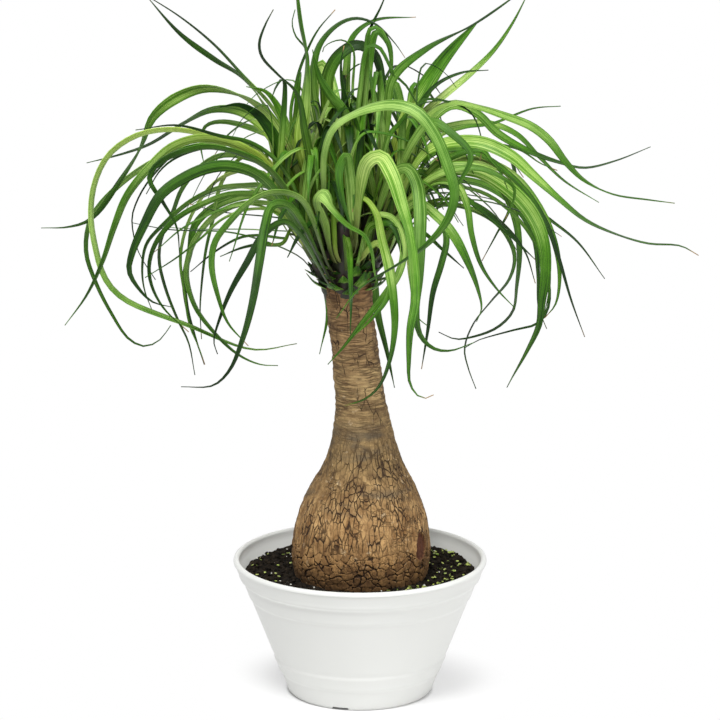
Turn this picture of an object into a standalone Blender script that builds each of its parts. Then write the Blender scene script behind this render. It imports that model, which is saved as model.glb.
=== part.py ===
"""A potted ponytail palm: a white plastic bowl pot, its soil, the swollen trunk with four short
growing heads, and the strap leaves, each a piece of its own. Metres, +Z up. The origin is on the
floor, at the centre of the pot's foot."""

import math

import bmesh
import bpy
from mathutils import Vector, noise

CM = 0.01
MM = 0.001
GAP = 0.3 * MM  # between pieces that rest on or in each other

# Pot
POT_HEIGHT = 11.8 * CM
RIM_RADIUS = 10.8 * CM
FOOT_RADIUS = 6.1 * CM
WALL = 2.2 * MM
RIM_BAND_BOTTOM = 10.05 * CM
SECOND_BAND_BOTTOM = 8.5 * CM
LOWER_BAND_TOP = 3.2 * CM
LOWER_BAND_BOTTOM = 1.9 * CM
BAND_STEP = 0.6 * MM  # how far each band stands proud of the wall below it
FLOOR_UNDERSIDE = 4.0 * MM
FLOOR_TOP = 6.4 * MM
FOOT_RING = 3.5 * MM  # width of the ring that the pot stands on
POT_SIDES = 64
NOTCH_COUNT = 3
NOTCH_FIRST_ANGLE = -106.0  # degrees round from +X
NOTCH_WIDTH = 14 * MM
NOTCH_HEIGHT = 2.6 * MM
DRAIN_HOLE_RADIUS = 4 * MM
DRAIN_HOLE_RING = 4.4 * CM

# Soil
SOIL_LEVEL = 10.3 * CM
SOIL_SIDES = 48
SOIL_UNEVENNESS = 2.0 * MM

# Trunk: height, how far the centre stands off the pot's axis in X, and radius, in centimetres
TRUNK_STATIONS = (
    (6.6, 0.1, 1.6),
    (7.0, 0.1, 3.2),
    (8.0, 0.1, 4.6),
    (9.2, 0.1, 5.3),
    (10.6, 0.1, 5.7),
    (12.2, 0.1, 5.9),
    (14.0, 0.12, 5.72),
    (16.0, 0.18, 5.25),
    (18.0, 0.22, 4.45),
    (20.0, 0.28, 3.35),
    (22.0, 0.3, 2.72),
    (25.0, 0.1, 2.2),
    (28.0, -0.22, 2.02),
    (31.0, -0.55, 1.98),
    (34.0, -0.88, 1.96),
    (36.2, -1.0, 2.05),
    (37.2, -1.0, 1.5),
)
TRUNK_SIDES = 32
TRUNK_RINGS = 30

# Growing heads: foot and top of each one's axis, in centimetres
HEADS = {
    "left": ((-1.4, 0.1, 34.6), (-5.0, 0.3, 42.4)),
    "right": ((-0.6, 0.1, 34.6), (2.4, 0.2, 43.6)),
    "back": ((-0.9, 0.4, 34.6), (-1.3, 3.4, 43.6)),
    "front": ((-1.0, -0.3, 34.6), (-1.3, -3.0, 40.6)),
}
HEAD_FOOT_RADIUS = 1.6 * CM
HEAD_TOP_RADIUS = 1.0 * CM
HEAD_SIDES = 16
LOWEST_LEAF = 0.22  # where the leaves start, as a share of the head's length
HIGHEST_LEAF = 0.97

# Leaves
LEAF_STEPS = 18
LEAF_THICKNESS = 0.9 * MM
LEAF_FOLD = 0.13  # depth of the blade's channel, as a share of its width
BASE_WIDTH_SHARE = 0.6
TAPER_START = 0.35  # where along a leaf its long taper begins
TAPER_POWER = 1.7
MOST_TWIST = math.radians(17)  # from one of a leaf's steps to the next

# The leaves are set out on an upright board through the trunk's axis, as they look from EYE. Each
# point is then moved along its line of sight to its own depth in front of the board or behind it.
EYE = Vector((0.0, -2.805, 0.957))

# Each leaf: its head, its width in mm, how far its end stands behind the board in cm, the turns of
# its blade from base to tip in degrees (0 is edge-on to the eye and 90 square to it), and its route
# on the board as (across, up) in cm.
LEAVES = (
    ("left", 10, 5, (80, 70, 10, 75, 10, 60, 20), (-5.9, 47), (-7.5, 49.8), (-9.6, 51.4), (-12.8, 52.1),
     (-15.3, 51.2), (-17.2, 49.6), (-18.2, 47.2), (-19.8, 44.6), (-22.4, 41.1), (-24.3, 40.4),
     (-26.6, 40.3)),
    ("left", 8, 4, (40, 30, 35, 50, 35), (-7.6, 46), (-12, 47.9), (-15.5, 48.6), (-18.5, 48.1),
     (-20.8, 46.5), (-22, 44.2), (-22.4, 41.5), (-22.1, 38.8), (-21.3, 36), (-19.8, 34.3), (-14.4, 32),
     (-9, 29.9), (-5.3, 30.4)),
    ("left", 7, 10, (30, 40, 40, 50), (-8.5, 46.9), (-12.5, 47.4), (-16.5, 46.3), (-20, 44),
     (-22.4, 41.2), (-22.9, 38.3), (-22.1, 35.6), (-20.9, 33.1), (-19.4, 30.8), (-18.1, 30.2),
     (-16.9, 30.7), (-15.9, 32)),
    ("left", 9, -3, (60, 50, 50, 30), (-7.5, 45.4), (-10, 47.2), (-12.8, 47.9), (-15.5, 47.2),
     (-17.6, 45.3), (-19.4, 43), (-20.5, 40.4), (-21.5, 37.5), (-22.9, 34.6), (-24.8, 32)),
    ("left", 8, -9, (50, 40, 30, 50, 30), (-7.5, 45.2), (-12, 47.1), (-14.6, 46.8), (-16.8, 45.7),
     (-17.5, 44.5), (-16.4, 42.5), (-15.3, 40.4), (-15.1, 38)),
    ("left", 10, -11, (30, 40, 80, 85, 20), (-8, 44.4), (-10.5, 45.5), (-12.6, 45.4), (-14.9, 44.4),
     (-16.6, 43.1), (-18, 40.6), (-19.1, 38), (-19.3, 36.6), (-18.5, 35.1), (-17.4, 34),
     (-15.6, 33.5)),
    ("left", 6, 6, (30, 40, 40, 30), (-7.5, 43.7), (-9.8, 43.9), (-12, 43.6), (-14.2, 42.5),
     (-16.4, 40.6), (-17.8, 39), (-18.2, 37.2), (-18.1, 35.2), (-17.4, 33.1)),
    ("left", 6, -5, (40, 50, 50, 40), (-7, 42.6), (-10.5, 43.2), (-13, 42.4), (-15.3, 41.1),
     (-16.9, 39.3), (-17.6, 37.4), (-17.5, 35.6), (-16.5, 33.5), (-14.4, 31.4)),
    ("left", 6, 13, (30, 50, 30, 60), (-7, 45), (-9.8, 46.4), (-11.8, 46.4), (-13.6, 45.2),
     (-14.9, 43.5), (-15.6, 41.7), (-16.6, 39.4), (-16.8, 37.6), (-16.3, 35.2), (-15.3, 32.5),
     (-14.4, 30.5), (-13.9, 27.7)),
    ("front", 8, -14, (70, 60, 30, 60, 40), (-5, 42.8), (-7.3, 43.3), (-9, 42.6), (-10.8, 40.9),
     (-12.1, 39.1), (-12.4, 37.2), (-11.9, 34.5), (-11.1, 32.2), (-9.4, 30.2)),
    ("front", 8, -18, (60, 80, 80, 60, 20), (-6, 42.2), (-7.3, 42.2), (-7.9, 40.5), (-8.4, 37.5),
     (-9, 34), (-9.8, 31), (-11, 28.1), (-12.4, 26.8), (-15.1, 26.7)),
    ("front", 7, -14, (60, 70, 70, 40), (-6.2, 40.8), (-8, 39.8), (-9.5, 37.3), (-10.8, 35),
     (-11.7, 32.8), (-12.3, 30.6), (-12, 29.5)),
    ("left", 7, 14, (20, 30, 80, 60, 60), (-6.6, 42.9), (-9.2, 43.1), (-12, 42.2), (-13.8, 40.5),
     (-14.2, 38.4), (-14.7, 36), (-14.5, 33.5), (-13.9, 31.2), (-13.1, 28.6)),
    ("left", 7, 3, (30, 40, 40, 40), (-6.5, 42), (-9.5, 42.4), (-12, 41.4), (-13.9, 39), (-14.5, 36.5),
     (-13.9, 33.8), (-12.6, 31.8), (-10.3, 29.5), (-8.4, 28.6), (-6.9, 28.5)),
    ("left", 8, 9, (60, 70, 0, 60, 20), (-6, 47.5), (-7.6, 50.3), (-9.8, 53.1), (-12, 54.5),
     (-14.8, 56.6), (-17.8, 60)),
    ("left", 5, 8, (60, 30, 20), (-5.6, 47.5), (-7.4, 50.7), (-9.7, 53.2), (-12, 55.7), (-14.8, 58),
     (-18.3, 60.2)),
    ("left", 8, -4, (80, 70, 10, 50), (-4.6, 48.5), (-5.2, 51.6), (-6.8, 53.2), (-8.1, 54.7),
     (-8.3, 55.8), (-7.8, 57.3), (-7.1, 58.6)),
    ("left", 11, -2, (80, 85, 10, 60), (-4.9, 47.5), (-4.6, 50.5), (-4.4, 53.2), (-4.5, 55.2),
     (-4.9, 57.5), (-5.3, 61.5)),
    ("left", 10, 11, (80, 85, 20, 30), (-6.4, 46.6), (-8.1, 49), (-10, 50.2), (-12.3, 50.3),
     (-14.6, 49.2), (-17.5, 47.4), (-20, 46.5), (-22.7, 45.8)),
    ("back", 9, 15, (60, 50, 40), (-4.6, 46.5), (-7, 48), (-11.3, 49.3), (-12.8, 48.9), (-13.2, 47.5),
     (-12.9, 45.5)),
    ("front", 10, -15, (60, 50, 30, 85, 70, 20, 30), (-3, 46.6), (-2.2, 48.8), (-0.8, 49.8), (1, 50.5),
     (3, 50.7), (4.7, 50.1), (6.2, 48.2), (7.3, 45.6), (7.9, 43.2), (7.3, 41), (5.6, 38.9), (3, 37.1),
     (0, 35.2), (-2, 32.6)),
    ("front", 12, -11, (80, 85, 30, 20, 40), (-3, 40.6), (-3.6, 42.6), (-3.2, 43.2), (-2.3, 42),
     (-1, 40.6), (0.4, 39.7), (1, 38.3), (1.2, 36.6), (1.4, 35.7)),
    ("front", 5, -14, (80, 80), (-1.2, 39.6), (-0.9, 38.4), (-0.8, 36.2), (-0.75, 34), (-0.8, 31.2)),
    ("front", 9, -9, (80, 85, 70), (-0.9, 45.1), (-1.2, 46.4), (-1.7, 45.3), (-1.6, 43.5),
     (-1.2, 41.8), (-0.6, 40.1)),
    ("front", 8, -13, (60, 80, 80, 40, 30), (-0.9, 42.2), (0.3, 42.8), (1.3, 41.6), (1.8, 39.4),
     (2.4, 36.9), (2.8, 34.2), (2.9, 31.8), (2.5, 29), (1.6, 26.7), (0.4, 25.6), (-1.3, 25)),
    ("front", 8, -9, (60, 80, 60, 50), (1.3, 41.3), (2.6, 41.2), (3.4, 39.9), (3.6, 38), (3.2, 36.4),
     (2.2, 34.8), (0.4, 32.5), (-1.4, 30.1), (-2.7, 28.6)),
    ("front", 12, -23, (80, 85, 85, 40, 70, 20), (0.6, 45.8), (1.7, 46.3), (2.6, 44.9), (3.4, 42.4),
     (4.1, 39.8), (4.5, 36.9), (4.6, 34), (4.2, 31.6), (4.1, 29), (4.2, 27), (4.9, 25.9), (5.6, 25.7),
     (6.2, 26)),
    ("right", 11, -13, (80, 85, 85, 60, 20), (2.6, 44.8), (3.9, 45.4), (4.7, 44.2), (5, 42), (5, 39),
     (4.9, 36), (4.7, 33.2), (5.1, 31.1), (6.2, 30), (7.6, 29.8), (9.6, 30.5)),
    ("right", 8, -10.5, (60, 80, 80, 50), (4.5, 47.8), (6, 49.3), (7.6, 48.3), (9.2, 46.5),
     (8.5, 44.6), (7.2, 43), (6.4, 42.1)),
    ("right", 7, -8, (30, 60, 60, 40), (4.4, 42), (5.6, 42), (6.8, 40.9), (7.2, 39.3), (6.8, 37.3),
     (6.1, 34.8), (5.7, 31.6), (5.2, 28.2)),
    ("right", 10, -10, (30, 60, 70, 20), (4.6, 42.4), (6.4, 41.3), (7.8, 39.7), (9, 37.4), (9.9, 35),
     (10.2, 33.4), (9.8, 32.3)),
    ("right", 7, -3.5, (40, 40, 40), (4.8, 45), (7, 44), (9.5, 42.3), (12, 40.2), (14.7, 37.6)),
    ("right", 6, 5, (30, 40, 40, 10, 40), (4.9, 41.8), (7.5, 42.3), (10, 41.6), (11.8, 40.3),
     (12.9, 38), (12.5, 36), (11, 34.1), (9.5, 32.1), (8.8, 30), (9.1, 28.4), (9.8, 26.5)),
    ("right", 7, -5, (30, 60, 50, 30), (6, 44.2), (8, 44), (8.9, 42.2), (9.3, 39.8), (10.1, 37.2),
     (11.4, 35.2), (13, 33.5)),
    ("right", 8, 9, (30, 60, 60, 20, 50), (6, 45), (9, 45.2), (11.5, 44), (12.8, 41.6), (13.3, 38.4),
     (13.1, 35.3), (12.8, 33.2), (11.5, 31.8), (9.5, 31), (8, 30.8), (6.6, 31.4)),
    ("right", 13, -2, (50, 60, 80, 50, 30), (6.4, 44.9), (9.5, 45.2), (12, 43.9), (14.1, 41.8),
     (15.2, 39.4), (15.5, 36.6), (15.2, 34), (15, 32), (14, 29.7), (12.9, 27.6), (12.4, 26.6)),
    ("right", 9, 4, (40, 50, 60, 50), (6.5, 45.6), (9.8, 46), (12.6, 44.8), (14.8, 42.2), (16.2, 39.2),
     (16.7, 36.4), (16.4, 33.8), (15.5, 32.6)),
    ("right", 8, 13, (30, 40, 60, 40), (6.2, 44), (9.5, 44.2), (12.5, 42.6), (14.4, 39.9),
     (14.9, 36.5), (15, 33.5), (15.7, 31.7)),
    ("right", 6, 0, (40, 40, 50, 30), (6, 46.5), (9.5, 46.7), (13, 44.3), (15.4, 41), (16.6, 37.8),
     (17.7, 34.2), (18.9, 31)),
    ("right", 11, -8, (40, 50, 80, 30, 10, 30), (5.6, 46.8), (9.6, 47.6), (12.5, 46.4), (14.3, 44.8),
     (16.5, 42.8), (18.7, 41), (21, 39.9), (24, 39), (26.8, 38.8), (28.3, 38)),
    ("right", 6, 7, (40, 40, 30), (6.4, 45.3), (9.6, 45), (13, 43), (16, 40.9), (18.2, 39.1),
     (20.5, 36)),
    ("right", 8, -2, (60, 30, 30, 85, 10, 40), (5.4, 49.6), (7.5, 50.9), (9.5, 50.6), (12, 49.8),
     (14.2, 48.9), (15.7, 47.7), (17.1, 45.9), (18.6, 44.4), (21, 43.2), (24, 42.7), (26.2, 42.4)),
    ("right", 8, 3, (60, 50, 60, 20, 20), (5.4, 48.6), (7.6, 50.6), (9.6, 50), (11.4, 48.3),
     (14, 46.8), (16.4, 45.9), (18.6, 45.4), (21.2, 46), (24.1, 47.2)),
    ("right", 8, 10, (60, 50, 40, 20), (5.6, 48), (8, 49), (10.8, 49.1), (13, 48.2), (14.9, 46.3),
     (17, 44.3), (19.9, 42.5)),
    ("right", 6, 17, (30, 30, 60), (6, 45.8), (9.5, 47.4), (12.2, 46.6), (12.9, 44.6), (12.5, 42),
     (11.4, 39.8), (10.2, 37.5)),
    ("right", 15, 4, (80, 85, 80), (4, 49.5), (5.4, 52.2), (7, 54.6), (9.3, 57.2), (9.9, 57.8)),
    ("right", 8, -4, (20, 30, 70, 10, 50), (2.2, 49), (2.7, 52.9), (5.5, 55.4), (9.2, 57.3),
     (11.2, 58.6), (13.4, 60.2)),
    ("right", 7, 6, (40, 60, 30), (4.6, 49.2), (6.4, 51), (9, 53.2), (11, 55.2), (12.5, 57.4),
     (13.9, 60.2)),
    ("back", 8, 7, (70, 70), (0.3, 41.5), (1.1, 36.5), (1.5, 33), (2.2, 30), (2.9, 26.6)),
    ("back", 9, 4, (60, 60, 30, 10), (-3.2, 48), (-3.9, 52.5), (-3.4, 55.6), (-1.8, 57.4),
     (-0.3, 57.9), (1.3, 57.4), (2.8, 55.9), (3.7, 54.6)),
    ("back", 12, 5, (60, 70, 60, 80), (-2.6, 49), (-2.7, 53), (-1.7, 54.9), (-0.2, 55.7), (1.2, 54.9),
     (1.8, 53), (1.9, 50.8), (1.8, 48.8)),
    ("back", 9, 4, (80, 60, 85), (0.6, 49), (0.7, 54), (1.4, 56.8), (2.3, 55.9), (2.6, 54),
     (2.4, 51.8)),
    ("back", 8, 8, (80, 60, 20), (-1, 49), (-1.1, 53.5), (-0.6, 56.3), (1.2, 57.7), (4.6, 58)),
    ("back", 12, 22, (80, 85, 60, 60, 80), (-1.4, 48), (-2.2, 51.3), (-3, 53.8), (-3.5, 53.9), (-4, 51),
     (-4.4, 45), (-3.8, 39), (-2.7, 33.3), (-3.4, 29.5)),
    ("back", 11, 23, (70, 80, 60, 70), (0.8, 48), (1.6, 51), (2.6, 52.5), (3.4, 50), (3.9, 45.5),
     (4, 41), (3.6, 37)),
)


def clear_scene():
    for item in list(bpy.data.objects):
        bpy.data.objects.remove(item)


def material(name, colour, roughness):
    made = bpy.data.materials.new(name)
    made.use_nodes = True
    shader = made.node_tree.nodes["Principled BSDF"]
    shader.inputs["Base Color"].default_value = (*colour, 1.0)
    shader.inputs["Roughness"].default_value = roughness
    return made


def new_object(name, mesh, finish):
    made = bpy.data.objects.new(name, mesh)
    bpy.context.scene.collection.objects.link(made)
    if finish:
        mesh.materials.append(finish)
    return made


def mesh_from(name, points, faces):
    mesh = bpy.data.meshes.new(name)
    mesh.from_pydata([tuple(p) for p in points], [], faces)
    mesh.update()
    return mesh


def turned(name, profile, sides, finish):
    """A solid turned round Z. The profile is a closed run of (radius, height) that goes up the outside."""
    points = []
    for radius, height in profile:
        for i in range(sides):
            angle = 2 * math.pi * i / sides
            points.append((radius * math.cos(angle), radius * math.sin(angle), height))
    count = len(profile)
    faces = []
    for j in range(count):
        k = (j + 1) % count
        for i in range(sides):
            n = (i + 1) % sides
            faces.append((j * sides + i, j * sides + n, k * sides + n, k * sides + i))
    made = new_object(name, mesh_from(name, points, faces), finish)
    bpy.context.view_layer.objects.active = made
    made.data.shade_smooth()
    made.data.set_sharp_from_angle(angle=math.radians(35))
    return made


def cut(target, cutter):
    cutter.hide_render = True
    cutter.display_type = "WIRE"
    boolean = target.modifiers.new("cut " + cutter.name, "BOOLEAN")
    boolean.operation = "DIFFERENCE"
    boolean.object = cutter


def wall_radius(height):
    """Outer radius of the pot's plain wall, without its bands."""
    top = RIM_RADIUS - 2 * BAND_STEP
    return FOOT_RADIUS + (top - FOOT_RADIUS) * height / POT_HEIGHT


def outer_profile():
    """The pot's outside, from the foot up: each band is a step proud of the one below it."""
    soften = 0.8 * MM
    steps = (
        (LOWER_BAND_BOTTOM, BAND_STEP),
        (LOWER_BAND_TOP, -BAND_STEP),
        (SECOND_BAND_BOTTOM, BAND_STEP),
        (RIM_BAND_BOTTOM, 2 * BAND_STEP),
    )
    profile = [(FOOT_RADIUS - soften, 0.0), (FOOT_RADIUS, soften)]
    proud = 0.0
    for height, step in steps:
        profile.append((wall_radius(height) + proud, height - soften))
        proud += step
        profile.append((wall_radius(height) + proud, height + soften))
    profile.append((RIM_RADIUS, POT_HEIGHT - 2 * soften))
    profile.append((RIM_RADIUS - soften, POT_HEIGHT))
    return profile


def inner_profile():
    """The pot's inside, from the rim down to the floor."""
    lip = 5.2 * MM
    profile = [(RIM_RADIUS - lip, POT_HEIGHT), (RIM_RADIUS - lip - 0.6 * MM, POT_HEIGHT - 1 * MM)]
    for height in (POT_HEIGHT - 7 * MM, SECOND_BAND_BOTTOM, LOWER_BAND_TOP):
        profile.append((wall_radius(height) - WALL, height))
    profile.append((wall_radius(FLOOR_TOP) - WALL, FLOOR_TOP + 2 * MM))
    profile.append((wall_radius(FLOOR_TOP) - WALL - 2 * MM, FLOOR_TOP))
    return profile


def make_pot(finish):
    floor_centre = 1.0 * MM  # the profile stops short of the axis, and a plug closes it
    profile = outer_profile() + inner_profile()
    profile += [(floor_centre, FLOOR_TOP), (floor_centre, FLOOR_UNDERSIDE)]
    profile += [(FOOT_RADIUS - FOOT_RING - 1 * MM, FLOOR_UNDERSIDE), (FOOT_RADIUS - FOOT_RING, 0.0)]
    pot = turned("pot", profile, POT_SIDES, finish)
    mesh = bmesh.new()
    mesh.from_mesh(pot.data)
    middle = [v for v in mesh.verts if math.hypot(v.co.x, v.co.y) < 1.5 * floor_centre]
    for vert in middle:
        vert.co.x = vert.co.y = 0.0
    bmesh.ops.remove_doubles(mesh, verts=middle, dist=0.1 * MM)
    walls = [f for f in mesh.faces if f.calc_area() < 1e-12]
    bmesh.ops.delete(mesh, geom=walls, context="FACES")
    mesh.to_mesh(pot.data)
    mesh.free()
    for i in range(NOTCH_COUNT):
        angle = math.radians(NOTCH_FIRST_ANGLE + 360 * i / NOTCH_COUNT)
        cut(pot, notch_cutter(i, angle))
        cut(pot, drain_cutter(i, angle))
    return pot


def notch_cutter(index, angle):
    """A low block across the foot ring, where water drains out."""
    mesh = bmesh.new()
    bmesh.ops.create_cube(mesh, size=1.0)
    bmesh.ops.scale(mesh, verts=mesh.verts, vec=(16 * MM, NOTCH_WIDTH, 2 * NOTCH_HEIGHT))
    bmesh.ops.translate(mesh, verts=mesh.verts, vec=(FOOT_RADIUS, 0, 0))
    data = bpy.data.meshes.new(f"notch_cutter_{index}")
    mesh.to_mesh(data)
    mesh.free()
    made = new_object(data.name, data, None)
    made.rotation_euler.z = angle
    return made


def drain_cutter(index, angle):
    mesh = bmesh.new()
    bmesh.ops.create_cone(mesh, cap_ends=True, segments=16, radius1=DRAIN_HOLE_RADIUS,
                          radius2=DRAIN_HOLE_RADIUS, depth=4 * FLOOR_TOP)
    bmesh.ops.translate(mesh, verts=mesh.verts, vec=(DRAIN_HOLE_RING, 0, 0))
    data = bpy.data.meshes.new(f"drain_cutter_{index}")
    mesh.to_mesh(data)
    mesh.free()
    made = new_object(data.name, data, None)
    made.rotation_euler.z = angle
    return made


def smooth_between(stations, value):
    """The offset and radius at a height, on a smooth curve through the stations."""
    heights = [s[0] for s in stations]
    last = len(stations) - 2
    i = max(0, min(last, next((n for n in range(last + 1) if value < heights[n + 1]), last)))
    before, start, end, after = (stations[max(0, min(last + 1, i + d))] for d in (-1, 0, 1, 2))
    span = end[0] - start[0]
    t = (value - start[0]) / span
    result = []
    for column in (1, 2):
        slope_in = (end[column] - before[column]) / (end[0] - before[0]) * span
        slope_out = (after[column] - start[column]) / (after[0] - start[0]) * span
        a = 2 * t**3 - 3 * t**2 + 1
        b = t**3 - 2 * t**2 + t
        c = -2 * t**3 + 3 * t**2
        d = t**3 - t**2
        result.append(a * start[column] + b * slope_in + c * end[column] + d * slope_out)
    return result


def tube(name, rings, sides, finish):
    """A closed body through rings of (centre, radius, axis), with flat ends."""
    points, faces = [], []
    for centre, radius, axis in rings:
        side = axis.orthogonal() if abs(axis.x) > 0.9 else axis.cross(Vector((1, 0, 0)))
        side.normalize()
        other = axis.cross(side)
        for i in range(sides):
            angle = 2 * math.pi * i / sides
            points.append(centre + radius * (math.cos(angle) * side + math.sin(angle) * other))
    for j in range(len(rings) - 1):
        for i in range(sides):
            n = (i + 1) % sides
            faces.append((j * sides + i, j * sides + n, (j + 1) * sides + n, (j + 1) * sides + i))
    faces.append(tuple(reversed(range(sides))))
    faces.append(tuple((len(rings) - 1) * sides + i for i in range(sides)))
    made = new_object(name, mesh_from(name, points, faces), finish)
    made.data.shade_smooth()
    made.data.set_sharp_from_angle(angle=math.radians(50))
    return made


def trunk_rings(grow=0.0):
    low, high = TRUNK_STATIONS[0][0], TRUNK_STATIONS[-1][0]
    rings = []
    for i in range(TRUNK_RINGS + 1):
        height = low + (high - low) * (i / TRUNK_RINGS) ** 1.15
        offset, radius = smooth_between(TRUNK_STATIONS, height)
        rings.append((Vector((offset * CM, 0, height * CM)), radius * CM + grow, Vector((0, 0, 1))))
    return rings


def head_axis(name):
    foot, top = (Vector(p) * CM for p in HEADS[name])
    return foot, top


def head_rings(name):
    """A short tapered stub with a domed end."""
    foot, top = head_axis(name)
    axis = (top - foot).normalized()
    rings = []
    for share in (0.0, 0.25, 0.5, 0.75, 1.0):
        radius = HEAD_FOOT_RADIUS + (HEAD_TOP_RADIUS - HEAD_FOOT_RADIUS) * share
        rings.append((foot + (top - foot) * share, radius, axis))
    for angle in (35, 65):
        out = HEAD_TOP_RADIUS * math.cos(math.radians(angle))
        along = HEAD_TOP_RADIUS * math.sin(math.radians(angle))
        rings.append((top + axis * along, out, axis))
    return rings


def make_trunk(finish):
    trunk = tube("trunk", trunk_rings(), TRUNK_SIDES, finish)
    for name in HEADS:
        head = tube("head_" + name, head_rings(name), HEAD_SIDES, None)
        head.hide_render = True
        head.display_type = "WIRE"
        union = trunk.modifiers.new("join " + name, "BOOLEAN")
        union.operation = "UNION"
        union.object = head
    return trunk


def make_soil(finish):
    """The soil fills the pot up to its level, with a socket for the trunk's buried foot."""
    outside = [(radius - 2 * GAP, height) for radius, height in reversed(inner_profile())
               if height < SOIL_LEVEL]
    outside[0] = (outside[0][0], FLOOR_TOP + GAP)
    outside.append((wall_radius(SOIL_LEVEL) - WALL - 2 * GAP, SOIL_LEVEL))
    top_rings = (9.0, 8.2, 7.4, 6.6)
    profile = outside + [(r * CM, SOIL_LEVEL) for r in top_rings]
    profile += [(2.0 * CM, SOIL_LEVEL), (2.0 * CM, FLOOR_TOP + GAP)]
    soil = turned("soil", profile, SOIL_SIDES, finish)
    mesh = bmesh.new()
    mesh.from_mesh(soil.data)
    for vert in mesh.verts:
        distance = math.hypot(vert.co.x, vert.co.y)
        if abs(vert.co.z - SOIL_LEVEL) < 0.1 * MM and distance < 9.1 * CM:
            vert.co.z += SOIL_UNEVENNESS * noise.noise(vert.co * 30)
    middle = [v for v in mesh.verts if math.hypot(v.co.x, v.co.y) < 2.1 * CM]
    for vert in middle:
        vert.co.x = vert.co.y = 0.0
    bmesh.ops.remove_doubles(mesh, verts=middle, dist=3 * MM)
    bmesh.ops.delete(mesh, geom=[f for f in mesh.faces if f.calc_area() < 1e-12], context="FACES")
    mesh.to_mesh(soil.data)
    mesh.free()
    socket = tube("socket_cutter", trunk_rings(grow=GAP)[:16], TRUNK_SIDES, None)
    lowest = min(v.co.z for v in socket.data.vertices)
    for vert in socket.data.vertices:
        if vert.co.z < lowest + 0.01 * MM:
            vert.co.z -= GAP
    cut(soil, socket)
    return soil


def on_sight_line(across, up, depth):
    """The point at that depth, in metres, that looks from EYE as the board's point (across, up) does."""
    drawn = Vector((across * CM, 0, up * CM))
    return EYE + (drawn - EYE) * ((depth - EYE.y) / -EYE.y)


def first_lift(leaf):
    """How far the leaf leans away from its head's axis as it sets off."""
    foot, top = head_axis(leaf[0])
    start = on_sight_line(*leaf[4], leaf[2] * CM * 0.35)
    return (start - (foot + top) / 2).angle(top - foot)


def leaf_shares():
    """Where each leaf sits along its head: those that lean out most are the oldest and sit lowest."""
    shares = {}
    for name in HEADS:
        order = sorted((n for n, leaf in enumerate(LEAVES) if leaf[0] == name),
                       key=lambda n: -first_lift(LEAVES[n]))
        for rank, n in enumerate(order):
            step = rank / max(1, len(order) - 1)
            shares[n] = LOWEST_LEAF + (HIGHEST_LEAF - LOWEST_LEAF) * step
    return shares


def leaf_route(leaf, share):
    """The leaf's route in metres, from its seat on the head through its points on the board, and the
    direction that points out of the head at the seat."""
    head, _, depth, _, *drawn = leaf
    foot, top = head_axis(head)
    seat_centre = foot + (top - foot) * share
    axis = (top - foot).normalized()
    steps, last = [0.0], Vector((seat_centre.x, seat_centre.z)) / CM
    for across, up in drawn:
        steps.append(steps[-1] + (Vector((across, up)) - last).length)
        last = Vector((across, up))
    route = []
    for (across, up), step in zip(drawn, steps[1:]):
        reach = 1 - (1 - step / steps[-1]) ** 2
        route.append(on_sight_line(across, up, seat_centre.y + (depth * CM - seat_centre.y) * reach))
    out = route[0] - seat_centre
    out -= axis * out.dot(axis)
    out.normalize()
    radius = HEAD_FOOT_RADIUS + (HEAD_TOP_RADIUS - HEAD_FOOT_RADIUS) * share
    seat = seat_centre + out * (radius + 2 * GAP + 0.5 * LEAF_THICKNESS)
    lean = (route[0] - seat).normalized()
    shoulder = seat + (out * 0.3 + axis * 0.5 + lean).normalized() * 1.2 * CM
    return [seat, shoulder] + route, out


def spline(points, count):
    """Evenly spaced points on a centripetal curve through the given ones."""
    ends = [2 * points[0] - points[1]] + list(points) + [2 * points[-1] - points[-2]]
    fine = []
    for i in range(1, len(ends) - 2):
        p0, p1, p2, p3 = ends[i - 1:i + 3]
        t1 = (p1 - p0).length ** 0.5
        t2 = t1 + (p2 - p1).length ** 0.5
        t3 = t2 + (p3 - p2).length ** 0.5
        for step in range(12):
            t = t1 + (t2 - t1) * step / 12
            a1 = p0 * ((t1 - t) / t1) + p1 * (t / t1)
            a2 = p1 * ((t2 - t) / (t2 - t1)) + p2 * ((t - t1) / (t2 - t1))
            a3 = p2 * ((t3 - t) / (t3 - t2)) + p3 * ((t - t2) / (t3 - t2))
            b1 = a1 * ((t2 - t) / t2) + a2 * (t / t2)
            b2 = a2 * ((t3 - t) / (t3 - t1)) + a3 * ((t - t1) / (t3 - t1))
            fine.append(b1 * ((t2 - t) / (t2 - t1)) + b2 * ((t - t1) / (t2 - t1)))
    fine.append(points[-1])
    lengths = [0.0]
    for a, b in zip(fine, fine[1:]):
        lengths.append(lengths[-1] + (b - a).length)
    even, j = [], 0
    for i in range(count + 1):
        want = lengths[-1] * i / count
        while j < len(lengths) - 2 and lengths[j + 1] < want:
            j += 1
        share = (want - lengths[j]) / max(1e-9, lengths[j + 1] - lengths[j])
        even.append(fine[j].lerp(fine[j + 1], min(1.0, share)))
    return even


def leaf_width(width, s):
    """Blade width along the leaf: narrow where it leaves the head, then full, then a long taper."""
    grown = BASE_WIDTH_SHARE + (1 - BASE_WIDTH_SHARE) * min(1.0, s / 0.12)
    if s <= TAPER_START:
        return width * grown
    return width * grown * (1 - ((s - TAPER_START) / (1 - TAPER_START)) ** TAPER_POWER)


def blade_normal(centre, along, turn):
    """The direction square to the blade where the blade is turned that far from edge-on to the eye."""
    sight = (centre - EYE).normalized()
    sight = (sight - along * sight.dot(along)).normalized()
    beside = along.cross(sight)
    return beside * math.cos(turn) - sight * math.sin(turn)


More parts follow.
